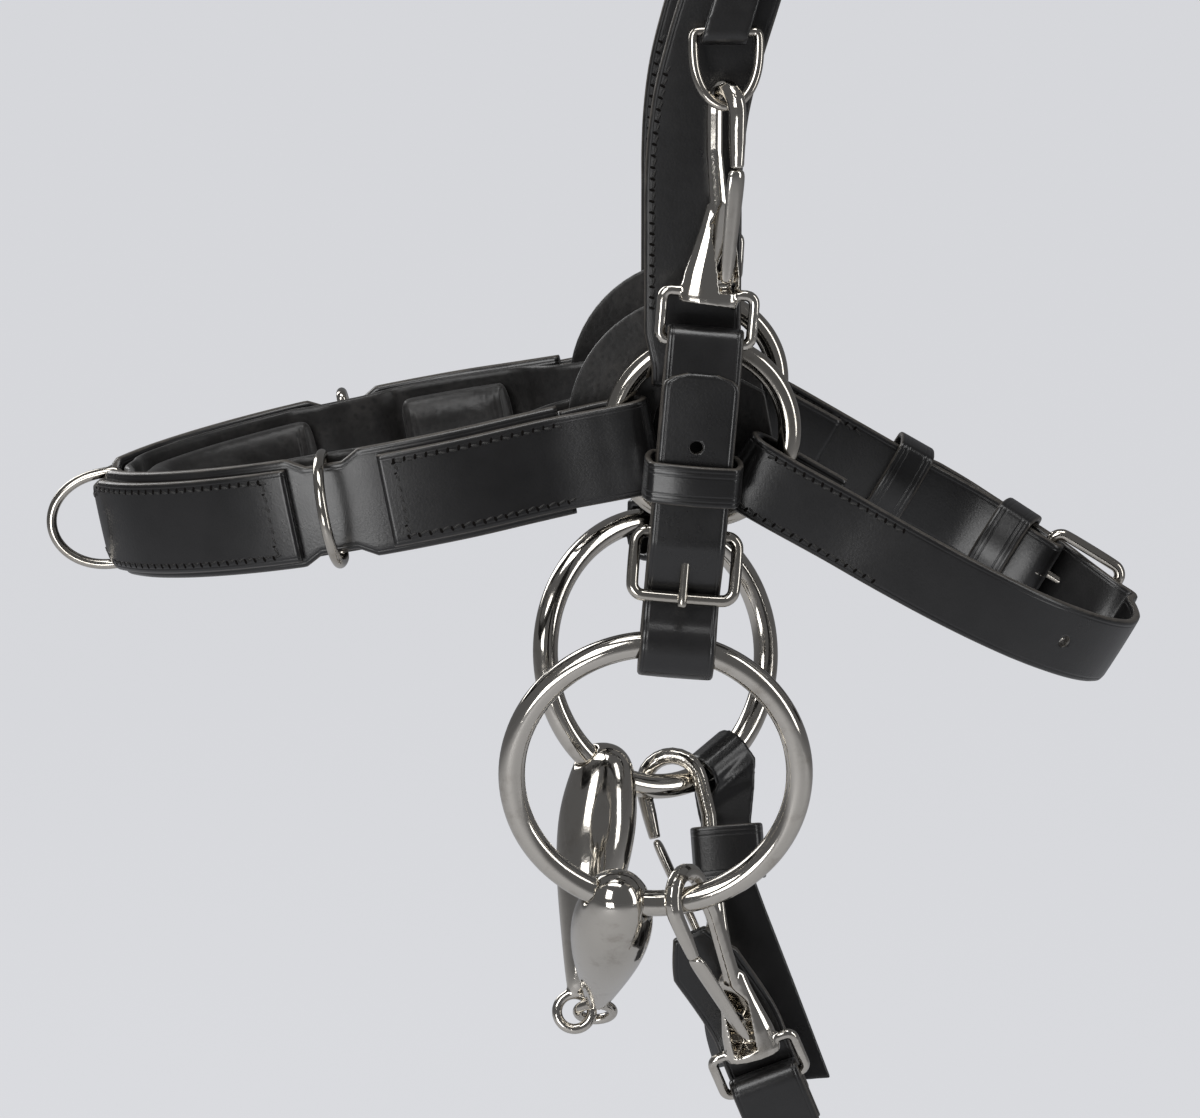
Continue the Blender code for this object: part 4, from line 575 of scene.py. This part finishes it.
def strap_profile(width, thick, crown):
    """One strap section per row: across is half the width times a power of the cosine, height is half the
    thickness with round corners, and a crown falls as the square of the share across."""
    turn = np.linspace(0, 2 * np.pi, PROFILE_STEPS, endpoint=False) + np.pi / PROFILE_STEPS
    turn = turn + CROWDING * np.sin(2 * turn)
    cos, sin = np.cos(turn), np.sin(turn)
    half = width[:, None] / 2
    rounding = np.clip(thick * CORNER, 0, half * CORNER_MOST)
    across = (np.sign(cos) * np.abs(cos) ** SQUARENESS)[None] * half
    distance = np.clip((half - np.abs(across)) / rounding, 0, 1)
    corner = np.sqrt(np.clip(1 - (1 - distance) ** 2, 0, 1))
    rise = thick / 2 * (EDGE_SHARE + (1 - EDGE_SHARE) * corner) + crown * (1 - (across / half) ** 2)
    return across, np.sign(sin)[None] * rise, half - np.abs(across)


def laid(points, side, up, across, height):
    """Sections laid square to a route: each point, plus sideways times across, plus upward times height."""
    return points[:, None] + side[:, None] * across[..., None] + up[:, None] * height[..., None]


def strap_piece(name, material, crown, ripple, step=STRAP_STEP):
    """A cut strap carried along its route: rounded edges, a slight crown, and ripples across it where it
    bends. Its points keep their distance from the edge."""
    route = route_of(name, step)
    across, height, edge = strap_profile(route.width, route.thick, crown)
    bend = np.linalg.norm(np.gradient(route.heading, axis=0), axis=1) / step
    wave = np.sin(route.run / RIPPLE + RIPPLE_DRIFT * np.sin(route.run / DRIFT))
    height = height + (ripple * wave * np.clip(bend / FULL_BEND, 0, 1))[:, None] * np.sign(height)
    sections = laid(route.points, route.side, route.up, across, height)
    return swept("leather_" + name, sections, material, values={"edge": edge})


def stitch_shape():
    """A stitch of unit length lying along x: circles that swell between two small ends."""
    along = np.array((-0.5, -0.42, -0.2, 0.2, 0.42, 0.5))
    radius = np.array((0.12, 0.6, 1.0, 1.0, 0.6, 0.12)) * 0.5
    turn = np.linspace(0, 2 * np.pi, THREAD_SIDES, endpoint=False)
    ring = np.stack([np.zeros(THREAD_SIDES), np.cos(turn), np.sin(turn)], axis=-1)
    points = ring[None] * radius[:, None, None]
    points[..., 0] = along[:, None]
    return points.reshape(-1, 3), skin_faces(len(along), THREAD_SIDES, False)


def scattered(name, shape, places, axes, sizes, material):
    """One mesh with a copy of a small shape at each place: place plus its points times each axis and size."""
    points, faces = shape
    scaled = points[None] * sizes[:, None]
    spread = places[:, None] + np.einsum("nki,nij->nkj", scaled, axes)
    count = len(points)
    found = [[vertex + n * count for vertex in face] for n in range(len(places)) for face in faces]
    return mesh_piece(name, spread.reshape(-1, 3), found, material)


def sampled(route, at):
    """The strap's middle, heading, sideways direction and normal at one or more distances run."""
    middle, *ways = (np.stack([np.interp(at, route.run, column) for column in values.T], axis=-1)
                     for values in (route.points, route.heading, route.side, route.up))
    return middle, *(unit(way) for way in ways)


def stitch_row(route, first, last, inset, sign):
    """Places, axes and lifts of a row of slanted stitches along a strap, each a set distance in from one
    edge, or from the other where the inset is negative."""
    count = max(int((last - first) / STITCH_PITCH), 2)
    at = first + (np.arange(count) + 0.5) * (last - first) / count
    middle, forward, level, normal = sampled(route, at)
    half = np.interp(at, route.run, route.width) / 2
    edge = 1 if inset > 0 else -1
    place = middle + level * (edge * (half - abs(inset)))[:, None] + normal * sign * (route.thick / 2)
    slant = unit(forward + level * STITCH_SLANT * edge)
    return place, np.stack([slant, np.cross(normal, slant), normal], axis=1), normal * sign


def cross_row(route, at, inset, sign):
    """Places, axes and lifts of a row of stitches straight across a strap at one point of its run."""
    middle, forward, level, normal = sampled(route, at)
    half = np.interp(at, route.run, route.width) / 2 - inset
    steps = max(int(2 * half / STITCH_PITCH), 2)
    share = (np.arange(steps) + 0.5) / steps * 2 - 1
    place = middle + level * (share * half)[:, None] + normal * sign * (route.thick / 2)
    slant = unit(level + forward * STITCH_SLANT)
    axes = np.stack([slant, np.cross(normal, slant), normal], axis=0)
    return place, np.tile(axes, (steps, 1, 1)), np.tile(normal * sign, (steps, 1))


def sewn(node, rows, thread, shadow):
    """The stitches of one strap: threads, and between them thin dark marks of painted shade standing for the
    dents where the thread goes through.
    """
    place, axes, lift = (np.vstack(values) for values in zip(*rows))
    sizes = np.tile(THREAD_SIZE, (len(place), 1))
    threads = scattered("thread_" + node, stitch_shape(), place + lift * THREAD_LIFT, axes, sizes, thread)
    worn_by(threads, node, replaces=False)
    # painted shade: each dent is a flat dark blob lifted just over the leather, not a hollow
    dents = np.tile(DENT_SIZE, (len(place), 1))
    turned = np.stack([axes[:, 1], -axes[:, 0], axes[:, 2]], axis=1)
    ahead = axes[:, 0] * THREAD_SIZE[0] * DENT_AHEAD
    holes = scattered("awl_" + node, stitch_shape(), place + ahead + lift * DENT_LIFT, turned, dents, shadow)
    worn_by(holes, node, replaces=False)


def cushion(node, material, lift, seed):
    """A sewn pad: its solid rounded by subdivision, each point of its inner face then pushed out by the lift
    times the root of its distance from the seam, and by slow waves whose phases come from the seed."""
    piece = copied(node, "pad_" + node, material)
    subdivided(piece, PAD_LEVELS)
    settled(piece)
    points = coordinates(piece.data.vertices)
    normals = np.array([vertex.normal[:] for vertex in piece.data.vertices])
    route = route_of("noseband_lining")
    place = np.argmin(np.linalg.norm(points[:, None] - route.points[None], axis=2), axis=1)
    inward = -outer_sign(route.points, route.up) * np.sum(normals * route.up[place], axis=1)
    across = np.abs(np.sum((points - route.points[place]) * route.side[place], axis=1))
    run = route.run[place]
    room = np.minimum(across.max() - across, np.minimum(run - run.min(), run.max() - run))
    bell = np.sqrt(np.clip(room / SHOULDER, 0, 1))
    phase = np.random.default_rng(seed).uniform(0, 2 * np.pi, WRINKLES + 1)
    waves = sum(np.sin(run * k / WRINKLE_LENGTH + across / MM * WRINKLE_SLANT * k + phase[k]) / (1 + k)
                for k in range(1, WRINKLES + 1))
    push = np.clip(inward, 0, 1) * bell * (lift + WRINKLE_DEPTH * waves)
    piece.data.vertices.foreach_set("co", (points + normals * push[:, None]).ravel())
    worn_by(piece, node)


def keeper_piece(node, material):
    """A leather loop: a strap section carried round the middle line of its solid's four edges. Of the other
    three, the edge nearest to the first lies across the thickness and the next across the height."""
    loops = band_of(node)
    guide = loops[0]
    loops = [np.array([loop[np.argmin(np.linalg.norm(loop - corner, axis=1))] for corner in guide])
             for loop in loops]
    middle = sum(loops) / len(loops)
    spans = sorted((float(np.linalg.norm(loop - guide, axis=1).mean()), n) for n, loop in enumerate(loops))
    (thick, _), (height, beside_guide) = spans[1:3]
    along = unit((loops[beside_guide] - guide).mean(0))
    points = along_curve(middle, KEEPER_STEP, closed=True)
    side = np.tile(along, (len(points), 1))
    up = np.cross(headings(points, closed=True), side)
    reach, rise, edge = strap_profile(np.full(len(points), height), thick * KEEPER_THINNING, 0.0)
    values = {"edge": edge, "second": np.ones_like(edge)}
    sections = laid(points, side, up, reach, rise)
    worn_by(swept("keeper_" + node, sections, material, closed=True, values=values), node)


# Materials


class Socket:
    """A shader value on which arithmetic adds Math nodes."""

    def __init__(self, tree, link):
        self.tree, self.link = tree, link

    def _math(self, operation, first, second):
        node = self.tree.nodes.new("ShaderNodeMath")
        node.operation = operation
        for place, value in zip(node.inputs, (first, second)):
            if isinstance(value, Socket):
                self.tree.links.new(value.link, place)
            else:
                place.default_value = value
        return Socket(self.tree, node.outputs[0])

    def __add__(self, other):
        return self._math("ADD", self, other)

    def __radd__(self, other):
        return self._math("ADD", other, self)

    def __sub__(self, other):
        return self._math("SUBTRACT", self, other)

    def __rsub__(self, other):
        return self._math("SUBTRACT", other, self)

    def __mul__(self, other):
        return self._math("MULTIPLY", self, other)

    def __rmul__(self, other):
        return self._math("MULTIPLY", other, self)

    def size(self):
        return self._math("ABSOLUTE", self, 0.0)


class Finish:
    """A material under construction: its nodes, its principled shader and the object's own coordinates."""

    def __init__(self, name):
        self.material = bpy.data.materials.new(name)
        self.material.use_nodes = True
        self.tree = self.material.node_tree
        self.shader = self.tree.nodes["Principled BSDF"]
        self.place = Socket(self.tree, self.tree.nodes.new("ShaderNodeTexCoord").outputs["Object"])

    def node(self, kind, settings=None, output=0, numbered=None, **values):
        """One node: its settings first, then its sockets by number and by name, underscores for spaces."""
        made = self.tree.nodes.new("ShaderNode" + kind)
        for key, value in (settings or {}).items():
            setattr(made, key, value)
        for key, value in (numbered or {}).items():
            self.feed(made, key, value)
        for key, value in values.items():
            self.feed(made, key.replace("_", " "), value)
        return Socket(self.tree, made.outputs[output])

    def feed(self, made, socket, value):
        """Links a socket to a shader value, or sets it to a plain one."""
        place = made.inputs[socket]
        if isinstance(value, Socket):
            self.tree.links.new(value.link, place)
        else:
            place.default_value = value

    def set(self, **values):
        """The principled shader's sockets by name, with underscores for spaces."""
        for key, value in values.items():
            self.feed(self.shader, key.replace("_", " "), value)

    def noise(self, scale, detail, roughness, place=None):
        """Cloudy noise on the object's own coordinates, or on others."""
        return self.node("TexNoise", Vector=place or self.place, Scale=scale, Detail=detail,
                         Roughness=roughness)

    def cells(self, scale, feature="F1"):
        """The distance to the nearest of scattered points."""
        return self.node("TexVoronoi", {"feature": feature}, Vector=self.place, Scale=scale)

    def stretched(self, factors):
        """The object's coordinates with each axis scaled by its own factor."""
        return self.node("Mapping", Vector=self.place, Scale=factors)

    def kept(self, name):
        """A value that the mesh keeps for its points."""
        return self.node("Attribute", {"attribute_name": name}, output=2)

    def ramp(self, value, first, last):
        """Zero at the first number, one at the last, with eased ends."""
        return self.node("MapRange", {"interpolation_type": "SMOOTHSTEP"}, Value=value, From_Min=first,
                         From_Max=last)

    def mix(self, factor, first, second):
        """A colour between two: sockets 6 and 7 are the Mix node's colours, and output 2 its colour."""
        return self.node("Mix", {"data_type": "RGBA"}, output=2, numbered={0: factor, 6: first, 7: second})

    def near(self, value, middle, reach):
        """One where a value equals its middle, falling to zero a reach away on both sides."""
        return 1 - self.ramp((value - middle).size(), 0.0, reach)

    def bumped(self, height, strength, distance):
        """The surface's normal tilted by a height."""
        self.set(Normal=self.node("Bump", Height=height, Strength=strength, Distance=distance))


def tone(colour, scale=1.0):
    """A colour made lighter or darker, with an alpha of one."""
    return (*(channel * scale for channel in colour[:3]), 1.0)


def bridle_leather(name, colour, gloss):
    """Black curried leather: fine pores and hair-cell grain, slow mottling, pull lines, a waxed coat that
    wears along the cut edges, a warm dusty tone where the edge is rubbed, and pressed lines beside it."""
    made = Finish(name)
    mottle = made.noise(scale=38.0, detail=4.0, roughness=0.6)
    pores = made.cells(scale=1500.0)
    grain = made.noise(scale=900.0, detail=3.0, roughness=0.55)
    pulls = made.noise(scale=60.0, detail=2.0, roughness=0.5, place=made.stretched((1.0, 6.0, 1.0)))
    scuffs = made.noise(scale=210.0, detail=5.0, roughness=0.7)
    edge = made.kept("edge")
    rubbed = 1 - made.ramp(edge, 0.0, RUBBED_REACH)
    wear = made.ramp(scuffs * 0.6 + rubbed * 0.75, 0.62, 1.15)
    body = made.mix(made.ramp(mottle, 0.35, 0.7), tone(colour, 0.75), tone(colour, 1.35))
    worn = made.mix(wear, body, tone(RUBBED_TONE))
    made.set(Base_Color=made.mix(made.ramp(pores, 0.0, 0.30), tone(colour, 0.35), worn),
             Roughness=gloss + mottle * 0.16 + wear * 0.22 + scuffs * 0.08 - 0.12,
             Coat_Weight=0.22, Coat_Roughness=0.16, Specular_IOR_Level=0.55)
    second = made.kept("second") * made.near(edge, SECOND_LINE, LINE_REACH)
    lines = made.near(edge, PRESSED_LINE, LINE_REACH) + second
    height = pores * 0.30 + grain * 0.35 + pulls * 0.4 + scuffs * 0.2 - lines * 3.2
    made.bumped(height, strength=0.34, distance=0.14 * MM)
    return made.material


def lining_leather(name, colour):
    """Soft lining leather: a matt pebbled face, broad soft wrinkles, and painted highlight on the wrinkles'
    high spots with painted shade in their hollows.
    """
    made = Finish(name)
    pebble = made.cells(scale=640.0, feature="SMOOTH_F1")
    fine = made.noise(scale=1200.0, detail=3.0, roughness=0.6)
    folds = made.noise(scale=95.0, detail=5.0, roughness=0.62)
    # painted highlight and shade: the wrinkle noise that lifts the bump also lightens the raised parts and
    # darkens the hollows
    colours = made.mix(made.ramp(folds, 0.42, 0.72), tone(colour, 0.6), tone(colour, 1.5))
    made.set(Base_Color=made.mix(made.ramp(pebble, 0.1, 0.5), tone(colour, 0.4), colours),
             Roughness=0.30 + folds * 0.24, Sheen_Weight=0.12, Sheen_Roughness=0.5)
    made.bumped(pebble * 0.5 + fine * 0.2 + folds * 1.6, strength=0.42, distance=0.28 * MM)
    return made.material


def worn_metal(name, colour, gloss, tarnish):
    """Plated or polished metal: soft casting waves, fine rubbing lines both ways, and dull warm tarnish that
    gathers in slow patches."""
    made = Finish(name)
    patches = made.noise(scale=120.0, detail=5.0, roughness=0.65)
    waves = made.noise(scale=260.0, detail=2.0, roughness=0.5)
    lines = made.noise(scale=900.0, detail=2.0, roughness=0.6, place=made.stretched((1.0, 0.12, 1.0)))
    cross = made.noise(scale=1400.0, detail=2.0, roughness=0.6, place=made.stretched((0.15, 1.0, 1.0)))
    dull = made.ramp(patches, 0.50, 0.78)
    colours = made.mix(dull * tarnish, tone(colour), tone(TARNISH_TONE))
    pits = 1 - made.ramp(made.cells(scale=900.0), 0.05, 0.16)
    made.set(Base_Color=made.mix(pits * dull * 0.7, colours, tone(PIT_TONE)), Metallic=1.0,
             Roughness=gloss + dull * 0.18 + lines * 0.04 + cross * 0.03)
    made.bumped(waves * 0.9 + lines * 0.08 + cross * 0.05 - pits * 0.4, strength=0.10, distance=0.16 * MM)
    return made.material


def waxed_thread(name, colour):
    """Black linen thread: two plies twisted round each other under wax."""
    made = Finish(name)
    ply = made.node("TexWave", {"bands_direction": "DIAGONAL"}, output=1, Vector=made.place, Scale=900.0,
                    Distortion=2.0)
    fuzz = made.noise(scale=2600.0, detail=3.0, roughness=0.7)
    made.set(Base_Color=made.mix(ply, tone(colour, 0.5), tone(colour, 1.6)), Roughness=0.42 + fuzz * 0.3)
    made.bumped(ply + fuzz * 0.5, strength=0.5, distance=0.08 * MM)
    return made.material


def shadowed_hole(name):
    """Painted shade for the inside of an awl dent or a punched hole: two near-black tones, darker than the
    leather itself, standing in for the shade there.
    """
    made = Finish(name)
    blotches = made.noise(scale=1800.0, detail=4.0, roughness=0.7)
    # painted shade: the darkness of the hole is laid into its colour
    made.set(Base_Color=made.mix(blotches, tone(HOLE_SHADE_DARK), tone(HOLE_SHADE_PALE)), Roughness=0.95,
             Specular_IOR_Level=0.1)
    return made.material


def rays(tree):
    """Three values that are one for a ray from the camera, from a mirror and through glass, else zero."""
    path = tree.nodes.new("ShaderNodeLightPath")
    return [Socket(tree, path.outputs[f"Is {kind} Ray"]) for kind in ("Camera", "Glossy", "Transmission")]


# Settings


def metres(name, text, default, low, high):
    """A length that a user can change."""
    return FloatProperty(name=name, description=text, default=default, min=low, max=high, subtype="DISTANCE",
                         unit="LENGTH", precision=5)


def paint(name, text, default):
    """A colour that a user can change."""
    return FloatVectorProperty(name=name, description=text, default=default, size=3, min=0, max=1,
                               subtype="COLOR")


def share(name, text, default):
    """A number from zero to one that a user can change."""
    return FloatProperty(name=name, description=text, default=default, min=0, max=1, subtype="FACTOR")


class CavessonLeather(bpy.types.PropertyGroup):
    black: paint("Bridle leather", "Colour of the straps' grain side", (0.0095, 0.0091, 0.0093))
    lining: paint("Lining leather", "Colour of the soft lining and pads", (0.017, 0.0155, 0.0145))
    thread: paint("Thread", "Colour of the sewing thread", (0.020, 0.019, 0.018))
    gloss: share("Roughness", "Roughness of the waxed straps", 0.30)
    crown: metres("Crown", "Rise of a strap's middle over its edges", 0.14 * MM, 0, 1 * MM)
    swell: metres("Pad swell", "How far a pad stands over its seams", 2.2 * MM, 0, 6 * MM)


class CavessonMetal(bpy.types.PropertyGroup):
    nickel: paint("Nickel", "Colour of the rings and buckles", (0.52, 0.49, 0.44))
    steel: paint("Steel", "Colour of the bit and the snap hooks", (0.60, 0.57, 0.52))
    nickel_gloss: share("Nickel roughness", "Roughness of rings and buckles", 0.08)
    steel_gloss: share("Steel roughness", "Roughness of bit and snaps", 0.05)
    voxel: metres("Casting grain", "Size of the cells that fuse a cast piece", 0.32 * MM, 0.2 * MM, 1 * MM)


class CavessonStage(bpy.types.PropertyGroup):
    backdrop: paint("Backdrop", "Colour of the floor and of all that lies behind", (0.665, 0.672, 0.700))
    floor_drop: metres("Floor", "Distance of the floor below the lead ring", 0.30, 0, 2)


def leather():
    """The leather's settings."""
    return bpy.context.scene.cavesson_leather


def metal():
    """The metal's settings."""
    return bpy.context.scene.cavesson_metal


def finish(name, make, *values):
    """The material of that name, made once."""
    return bpy.data.materials.get(name) or make(name, *values)


def black_leather():
    """The finish of the straps and keepers."""
    return finish("black_bridle_leather", bridle_leather, leather().black, leather().gloss)


def soft_leather():
    """The finish of the lining, pads and ring safes."""
    return finish("soft_lining_leather", lining_leather, leather().lining)


def nickel():
    """The finish of the D rings, buckles, cheek rings and lead ring."""
    return finish("nickel_plate", worn_metal, metal().nickel, metal().nickel_gloss, NICKEL_TARNISH)


def steel():
    """The finish of the bit, its rings and the snap hooks."""
    return finish("bright_steel", worn_metal, metal().steel, metal().steel_gloss, STEEL_TARNISH)


def thread():
    """The finish of the stitches."""
    return finish("waxed_linen_thread", waxed_thread, leather().thread)


def shadow():
    """The painted shade laid in the dents between stitches, and the finish of punched holes."""
    return finish("awl_hole", shadowed_hole)


# Pieces


class CAVESSON_OT_rings(bpy.types.Operator):
    """Round rings: two at the cheeks, two on the bit and one for the lead."""

    bl_idname = "cavesson.rings"
    bl_label = "Rings"

    def execute(self, context):
        for node in ("near_cheek_ring", "far_cheek_ring", "near_bit_ring", "far_bit_ring", "lead_ring"):
            coat = steel() if "bit" in node else nickel()
            worn_by(swept("ring_" + node, ring_sections(*ring_of(node)), coat, closed=True), node)
        return {"FINISHED"}


class CAVESSON_OT_wirework(bpy.types.Operator):
    """D rings, buckle frames and buckle tongues, bent from round wire."""

    bl_idname = "cavesson.wirework"
    bl_label = "D rings and buckles"

    def execute(self, context):
        for node in WIREWORK:
            worn_by(rounded(copied(node, "wire_" + node, nickel()), wire_size(node)), node)
        return {"FINISHED"}


class CAVESSON_OT_snaps(bpy.types.Operator):
    """Snap hooks: a tapering hook, a flat swelling base and a square eye cast in one, and a sprung gate."""

    bl_idname = "cavesson.snaps"
    bl_label = "Snap hooks"

    def execute(self, context):
        for side in ("near", "far"):
            for kind in ("snap", "coupler_snap"):
                node = side + "_" + kind
                body = copied(node + "_body", "cast_" + node, steel())
                worn_by(fused(body, metal().voxel, SNAP_EASE), node + "_body")
                gate = copied(node + "_gate", "gate_" + node, steel())
                worn_by(rounded(gate, wire_size(node + "_gate")), node + "_gate")
        return {"FINISHED"}


class CAVESSON_OT_bit(bpy.types.Operator):
    """The jointed mouthpiece: two fat cannons with linked eyes, each bored for its ring."""

    bl_idname = "cavesson.bit"
    bl_label = "Mouthpiece"

    def execute(self, context):
        for node in ("near_cannon", "far_cannon"):
            cannon = rounded(copied(node, "cast_" + node, steel()), 0)
            worn_by(fused(cannon, metal().voxel, CANNON_EASE), node)
        return {"FINISHED"}


class CAVESSON_OT_straps(bpy.types.Operator):
    """Every cut strap, with its pressed edge lines and its punched holes."""

    bl_idname = "cavesson.straps"
    bl_label = "Straps"

    def execute(self, context):
        for node, ripple in STRAPS.items():
            piece = strap_piece(node, black_leather(), leather().crown, ripple * MM)
            route = route_of(node)
            cutters = [self.punch(piece, route, middle) for middle in strap_of(node)[2]]
            if cutters:
                settled(piece)
            for cutter in cutters:
                bpy.data.objects.remove(cutter)
            worn_by(piece, node)
        for node in FOLDED:
            piece = fused(copied(node, "leather_" + node, black_leather()), FOLD_GRAIN, FOLD_EASE)
            plain = piece.data.attributes.new("edge", "FLOAT", "POINT")
            plain.data.foreach_set("value", np.full(len(piece.data.vertices), PLAIN_EDGE, np.float32))
            worn_by(piece, node)
        return {"FINISHED"}

    def punch(self, piece, route, middle):
        """A round cutter through the strap at a hole of its solid."""
        place = int(np.argmin(np.linalg.norm(route.points - middle, axis=1)))
        forward, level, through = route.heading[place], route.side[place], route.up[place]
        depth = through * np.linspace(-PUNCH_REACH_MM, PUNCH_REACH_MM, PUNCH_RINGS)[:, None] * MM
        turn = np.linspace(0, 2 * np.pi, PUNCH_SIDES, endpoint=False)[:, None]
        circle = (forward * np.cos(turn) + level * np.sin(turn)) * HOLE_RADIUS
        cutter = swept("punch", middle + depth[:, None] + circle[None], shadow())
        step = piece.modifiers.new("punch", "BOOLEAN")
        step.operation = "DIFFERENCE"
        step.object = cutter
        step.solver = "MANIFOLD"
        return cutter


class CAVESSON_OT_soft(bpy.types.Operator):
    """The lining behind the noseband, its three sewn pads, and the round safes behind the cheek rings."""

    bl_idname = "cavesson.soft"
    bl_label = "Lining and pads"

    def execute(self, context):
        lining = strap_piece("noseband_lining", soft_leather(), LINING_CROWN, LINING_RIPPLE, FINE_STEP)
        worn_by(lining, "noseband_lining")
        for node, (fill, seed) in PADS.items():
            cushion(node, soft_leather(), leather().swell, seed)
        for node in ("near_ring_safe", "far_ring_safe"):
            safe = copied(node, "safe_" + node, soft_leather())
            worn_by(fused(safe, SAFE_GRAIN, SAFE_EASE), node)
        return {"FINISHED"}


class CAVESSON_OT_keepers(bpy.types.Operator):
    """The leather loops that hold the strap ends down."""

    bl_idname = "cavesson.keepers"
    bl_label = "Keepers"

    def execute(self, context):
        for node in KEEPERS:
            keeper_piece(node, black_leather())
        return {"FINISHED"}


class CAVESSON_OT_stitching(bpy.types.Operator):
    """Rows of slanted saddle stitches along and across the sewn straps."""

    bl_idname = "cavesson.stitching"
    bl_label = "Stitching"

    def execute(self, context):
        for node, rows in SEWN.items():
            route = route_of(node, FINE_STEP)
            length = route.run[-1]
            made = []
            for kind, first, last, inset, face in rows:
                middle = np.searchsorted(route.run, (first + last) / 2 * length)
                sign = face * outer_sign(route.points, route.up, slice(middle, middle + 1))
                if kind == "across":
                    made.append(cross_row(route, first * length, inset * MM, sign))
                else:
                    made += [stitch_row(route, first * length, last * length, edge * inset * MM, sign)
                             for edge in (1, -1)]
            sewn(node, made, thread(), shadow())
        return {"FINISHED"}


class CAVESSON_OT_stage(bpy.types.Operator):
    """A pale floor, soft lamps and the camera of the photograph."""

    bl_idname = "cavesson.stage"
    bl_label = "Stage"

    def execute(self, context):
        scene = context.scene
        settings = scene.cavesson_stage
        scene.view_settings.view_transform = "Standard"
        low = CAD_BOX[0][2] - settings.floor_drop
        corners = [(x * FLOOR_REACH, y * FLOOR_REACH, low) for x, y in ((-1, -1), (1, -1), (1, 1), (-1, 1))]
        floor = mesh_piece("floor", corners, [(0, 1, 2, 3)], self.paper("pale_floor", settings.backdrop))
        self.sky(scene, settings.backdrop)
        for name, values in LAMPS.items():
            self.lamp(name, *values)
        camera = bpy.data.objects.new("camera", bpy.data.cameras.new("camera"))
        camera.data.sensor_width = SENSOR
        camera.data.lens = SENSOR * PHOTO_FOCAL / PHOTO_WIDTH
        camera.location = PHOTO_EYE
        camera.rotation_euler = (math.radians(PHOTO_PITCH), 0, 0)
        scene.collection.objects.link(camera)
        scene.camera = camera
        return {"FINISHED"}

    def paper(self, name, colour):
        """Paper that shows its own colour to the camera and still takes a shadow."""
        made = Finish(name)
        blotches = made.noise(scale=3.0, detail=4.0, roughness=0.5)
        made.set(Base_Color=made.mix(blotches, tone(colour, 0.97), tone(colour, 1.03)), Roughness=0.9)
        seen, mirrored, through = rays(made.tree)
        share_of_glow = seen * PAPER_SEEN + mirrored * SKY_GLOSS + through * PAPER_SEEN
        plain = Socket(made.tree, made.shader.outputs[0])
        glow = made.node("Emission", Color=tone(colour), Strength=PAPER_GLOW)
        blend = made.node("MixShader", numbered={0: share_of_glow, 1: plain, 2: glow})
        made.feed(made.tree.nodes["Material Output"], "Surface", blend)
        return made.material

    def sky(self, scene, colour):
        """A dim room for the lamps to stand in, pale where the camera, a mirror or glass looks at it."""
        scene.world = bpy.data.worlds.new("room")
        scene.world.use_nodes = True
        tree = scene.world.node_tree
        shade = tree.nodes["Background"]
        shade.inputs["Color"].default_value = tone(colour)
        seen, mirrored, through = rays(tree)
        strength = seen * SKY_SEEN + mirrored * SKY_GLOSS + through * SKY_SEEN + SKY_FILL
        tree.links.new(strength.link, shade.inputs["Strength"])

    def lamp(self, name, at, target, wide, tall, power):
        """A rectangular lamp that faces its target."""
        data = bpy.data.lights.new(name, "AREA")
        data.shape = "RECTANGLE"
        data.size, data.size_y = wide, tall
        data.energy = power
        lamp = bpy.data.objects.new(name, data)
        lamp.location = at
        lamp.rotation_euler = (Vector(target) - Vector(at)).to_track_quat("-Z", "Y").to_euler()
        bpy.context.scene.collection.objects.link(lamp)


OPERATORS = (CAVESSON_OT_rings, CAVESSON_OT_wirework, CAVESSON_OT_snaps, CAVESSON_OT_bit, CAVESSON_OT_straps,
             CAVESSON_OT_soft, CAVESSON_OT_keepers, CAVESSON_OT_stitching, CAVESSON_OT_stage)
GROUPS = {"cavesson_leather": CavessonLeather, "cavesson_metal": CavessonMetal,
          "cavesson_stage": CavessonStage}


class CAVESSON_PT_panel(bpy.types.Panel):
    """Sizes and colours, and a button for each group of pieces."""

    bl_idname = "CAVESSON_PT_panel"
    bl_label = "Cavesson"
    bl_space_type = "VIEW_3D"
    bl_region_type = "UI"
    bl_category = "Cavesson"

    def draw(self, context):
        for key, group in GROUPS.items():
            box = self.layout.box()
            for field in group.__annotations__:
                box.prop(getattr(context.scene, key), field)
        for operator in OPERATORS:
            self.layout.operator(operator.bl_idname)


def register():
    """Adds the settings, the operators and the panel to Blender."""
    for found in (*GROUPS.values(), *OPERATORS, CAVESSON_PT_panel):
        bpy.utils.register_class(found)
    for key, group in GROUPS.items():
        setattr(bpy.types.Scene, key, PointerProperty(type=group))


def unregister():
    """Takes them out again."""
    for key in GROUPS:
        delattr(bpy.types.Scene, key)
    for found in reversed((*GROUPS.values(), *OPERATORS, CAVESSON_PT_panel)):
        bpy.utils.unregister_class(found)


def main():
    """Builds the cavesson group by group."""
    register()
    for step in ("stage", "rings", "wirework", "snaps", "bit", "straps", "soft", "keepers", "stitching"):
        getattr(bpy.ops.cavesson, step)()
    bpy.context.view_layer.update()


if __name__ == "__main__":
    main()
